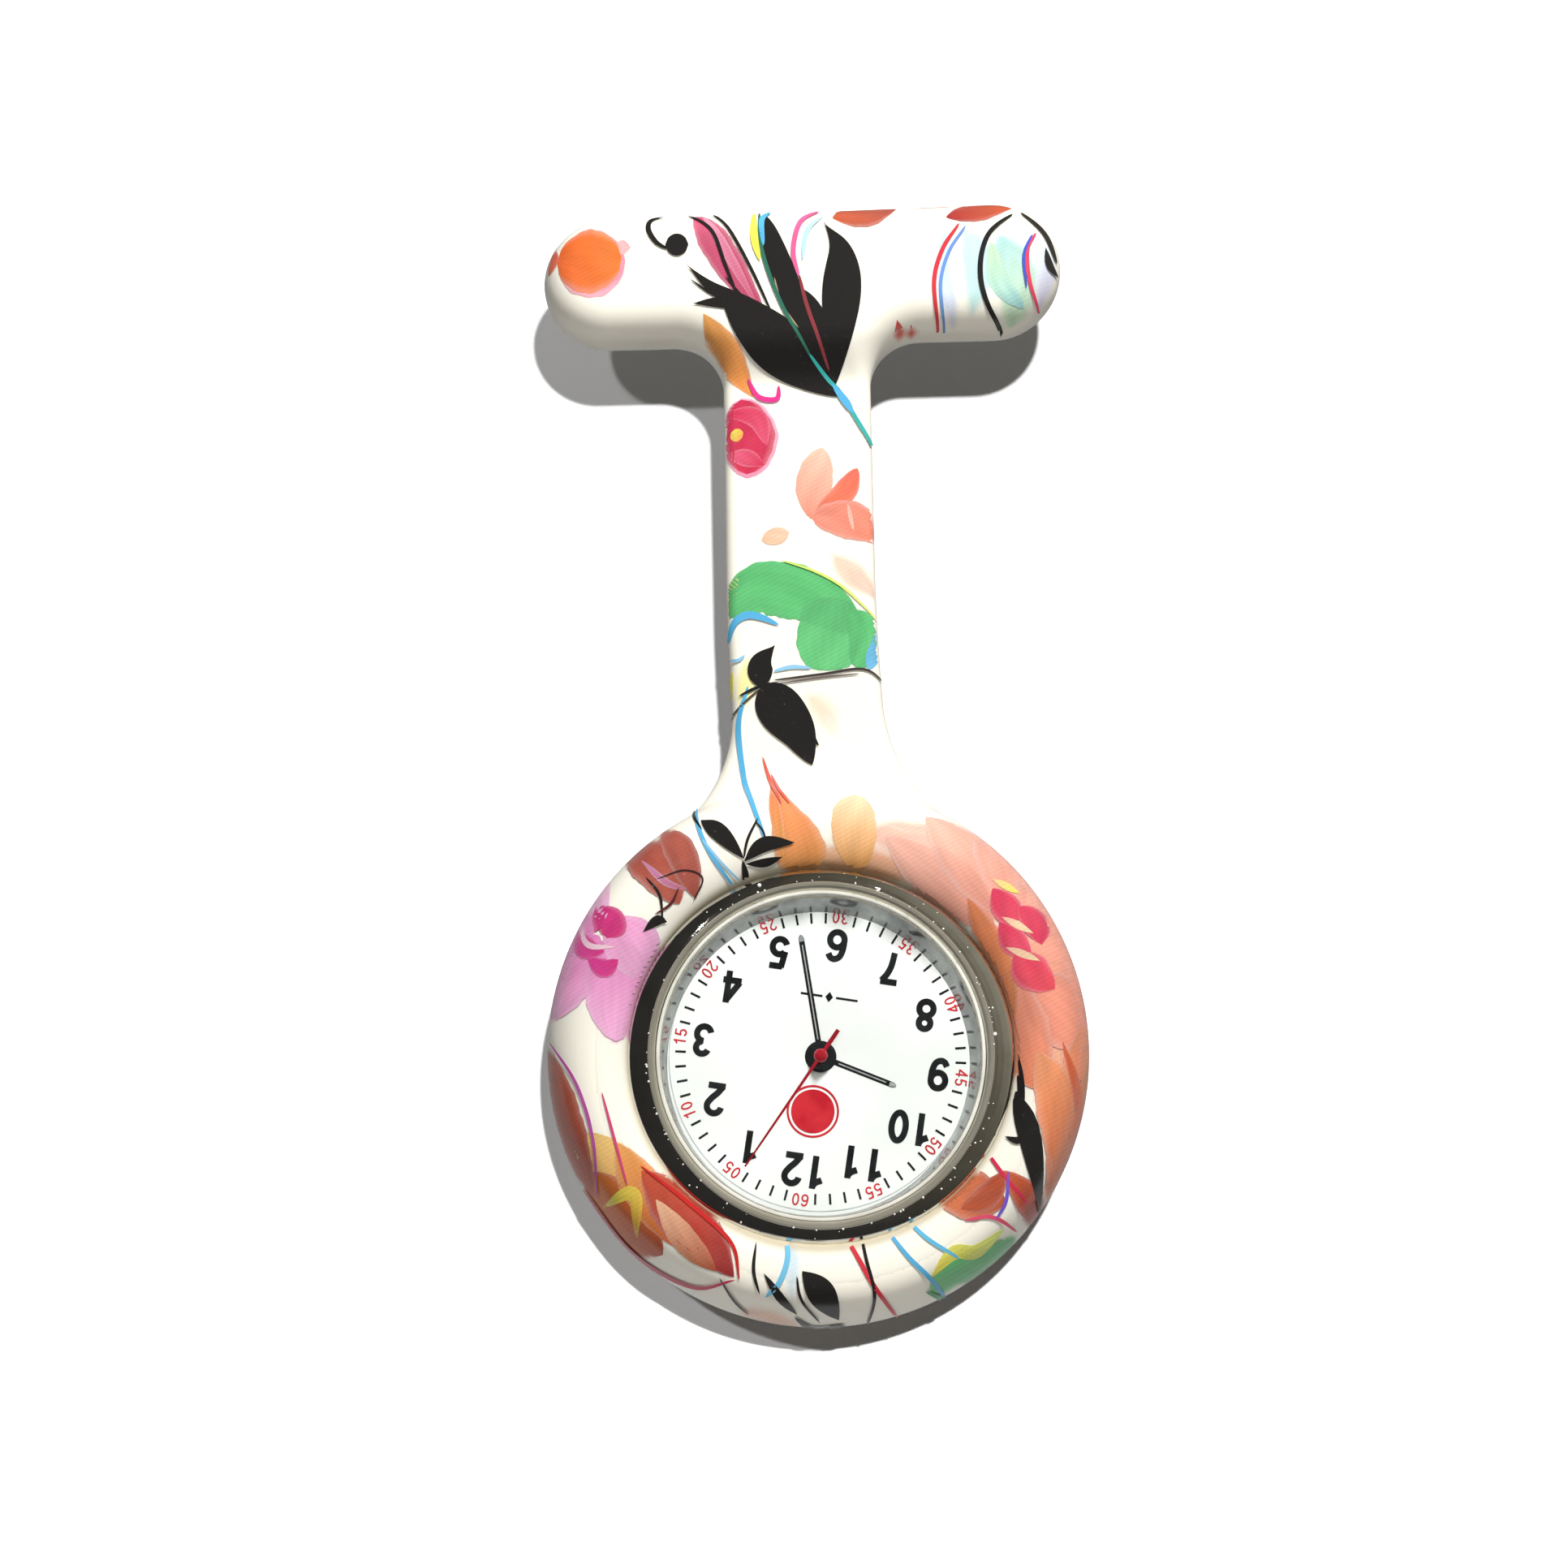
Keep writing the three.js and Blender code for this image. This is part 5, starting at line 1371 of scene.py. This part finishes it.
tab = [(CATCH_X + a, NEEDLE_Y + b) for a, b in ((-0.4, -0.25), (0.4, -0.25), (0.4, 0.25), (-0.4, 0.25))]
catch = joined("pin_catch", [
    prism(cradle_outline(1.38, 1.8, 42), CATCH_X - 0.75, CATCH_X + 0.75, SIDE), prism(tab, 1.6, 3.0, UP),
], STEEL_BRUSHED, 40)
place(bevelled(catch, 0.07), "catch", "brushed_steel", "safety_catch")

# ---- CAD nodes that stay, with worked materials ----

for material, names in (
    (WHITE_PLASTIC, "movement_ring intermediate_wheel"),
    (BLACK_PLASTIC, "main_plate chip_cap"),
    (STEEL_BRUSHED, "train_bridge stator coil_core setting_lever winding_stem"),
    (STEEL_POLISHED, "bridge_screw_1 bridge_screw_2 bridge_screw_3 clamp_screw battery quartz_can"),
    (BRASS, "battery_clamp second_wheel third_wheel centre_wheel minute_wheel hour_wheel"),
    (BOARD_GREEN, "circuit_board"), (COPPER, "coil_winding"), (ROTOR_GREY, "rotor"),
    (SEAL, "case_back_gasket"),
):
    for name in names.split():
        for node_slot in frame["nodes"][name].material_slots:
            node_slot.material = material

# ---- Stage: pale backdrop, soft world, two small lamps and some large soft ones ----

BACKDROP_NEAR = (30.0, -80.0)   # (y, z) of two points on the backdrop's slope
BACKDROP_FAR = (66.0, 0.0)
BACKDROP_REACH = 420
DARKEST_AT = (0, 0.04, -0.06)   # place in metres where the paper is least bright


def backdrop_material():
    """Paper that is paler away from the lamps' foot, so that it photographs evenly white."""
    s = new_material("backdrop")
    at = s.node("TexCoord").outputs["Object"]
    level = s.span(s.vector("LENGTH", s.vector("SUBTRACT", at, DARKEST_AT)), 1.3, 3.2,
                   interpolation_type="SMOOTHSTEP", From_Min=0.03, From_Max=0.16)
    # it throws little light back, so that the object's underside stays shaded
    bounce = s.span(s.node("LightPath").outputs["Is Camera Ray"], 0.22, 1)
    paper = s.node("BsdfDiffuse")
    s.feed(paper.inputs["Color"], s.math("MULTIPLY", level, bounce))
    return s.blended(s.node("NewGeometry").outputs["Backfacing"], paper, s.node("BsdfTransparent"))


def backdrop_y(z):
    t = (z - BACKDROP_NEAR[1]) / (BACKDROP_FAR[1] - BACKDROP_NEAR[1])
    return BACKDROP_NEAR[0] + t * (BACKDROP_FAR[0] - BACKDROP_NEAR[0])


backdrop = mesh_object("backdrop", [
    (a * BACKDROP_REACH, backdrop_y(b * BACKDROP_REACH), b * BACKDROP_REACH)
    for a, b in ((-1, -1), (1, -1), (1, 1), (-1, 1))
], QUAD, backdrop_material())

WORLD_AXIS = (0.84, -0.30, 0.45)        # towards the bright side
WORLD_RAMP = (
    (0.0, (0.026, 0.026, 0.027)), (0.55, (0.034, 0.033, 0.031)), (0.7, (0.06, 0.056, 0.047)),
    (0.85, (0.13, 0.12, 0.095)), (1.0, (0.34, 0.325, 0.27)),
)
WORLD_DIFFUSE = (0.035, 0.035, 0.034)


def make_world():
    """White to the camera; a soft gradient, bright above and dark below, in reflections; dim as a light."""
    s = Shader(bpy.data.worlds.new("world"))
    bpy.context.scene.world = s.owner
    facing = s.vector("DOT_PRODUCT", s.node("TexCoord").outputs["Generated"], Vector(WORLD_AXIS).normalized())
    gradient = s.ramp(s.span(facing, 0, 1, From_Min=-1), *WORLD_RAMP)
    path = s.node("LightPath").outputs
    lit = s.mix(path["Is Diffuse Ray"], gradient, WORLD_DIFFUSE)
    s.feed(s.tree.nodes["Background"].inputs["Color"], s.mix(path["Is Camera Ray"], lit, (1.0, 1.0, 1.0)))


make_world()


def linked(name, pieces, state):
    """A collection that a lamp lights, or casts shadows of, or leaves out."""
    group = bpy.data.collections.new(name)
    for k, piece in enumerate(pieces):
        group.objects.link(piece)
        group.collection_objects[k].light_linking.link_state = state
    return group


only_backdrop = linked("only_backdrop", [backdrop], "INCLUDE")
not_backdrop = linked("not_backdrop", [backdrop], "EXCLUDE")
hands = [o for o in bpy.data.objects if "_hand_" in o.name]
# the bezel throws no shadow of the key on the dial
over_the_dial = linked("over_the_dial", [case, crystal, gasket, rehaut, lip] + hands, "EXCLUDE")

LAMP_TARGET = (0, -4, -40)
LARGEST_POINT = 10              # a larger lamp is a disc


def lamp(name, at, power, size, lights, diffuse=True, glossy=True):
    """A lamp aimed at the watch, a point or a disc by its size."""
    disc = size > LARGEST_POINT
    data = bpy.data.lights.new(name, "AREA" if disc else "POINT")
    data.energy = power
    if disc:
        data.shape = "DISK"
        data.size = size * MM
    else:
        data.shadow_soft_size = size * MM
    obj = bpy.data.objects.new(name, data)
    bpy.context.scene.collection.objects.link(obj)
    obj.location = Vector(at) * MM
    obj.rotation_euler = (Vector(LAMP_TARGET) * MM - obj.location).to_track_quat("-Z", "Y").to_euler()
    obj.visible_camera = False
    obj.visible_diffuse = diffuse
    obj.visible_glossy = glossy
    obj.light_linking.receiver_collection = lights
    return obj


lamp("shadow_one", (3, -190, -64), 2.6, 0.8, only_backdrop, glossy=False)
lamp("shadow_two", (-17.2, -190, -63), 0.36, 0.8, only_backdrop, glossy=False)
key = lamp("key", (60, -190, 165), 1.2, 70, not_backdrop, glossy=False)
key.light_linking.blocker_collection = over_the_dial
lamp("fill", (-10, -230, -60), 0.16, 90, not_backdrop, glossy=False)
lamp("spark_one", (60, -210, 120), 0.04, 1.6, not_backdrop, diffuse=False)
lamp("spark_two", (-90, -200, 60), 0.02, 1.6, not_backdrop, diffuse=False)
lamp("behind", (-120, 320, 120), 1.7, 300, not_backdrop)
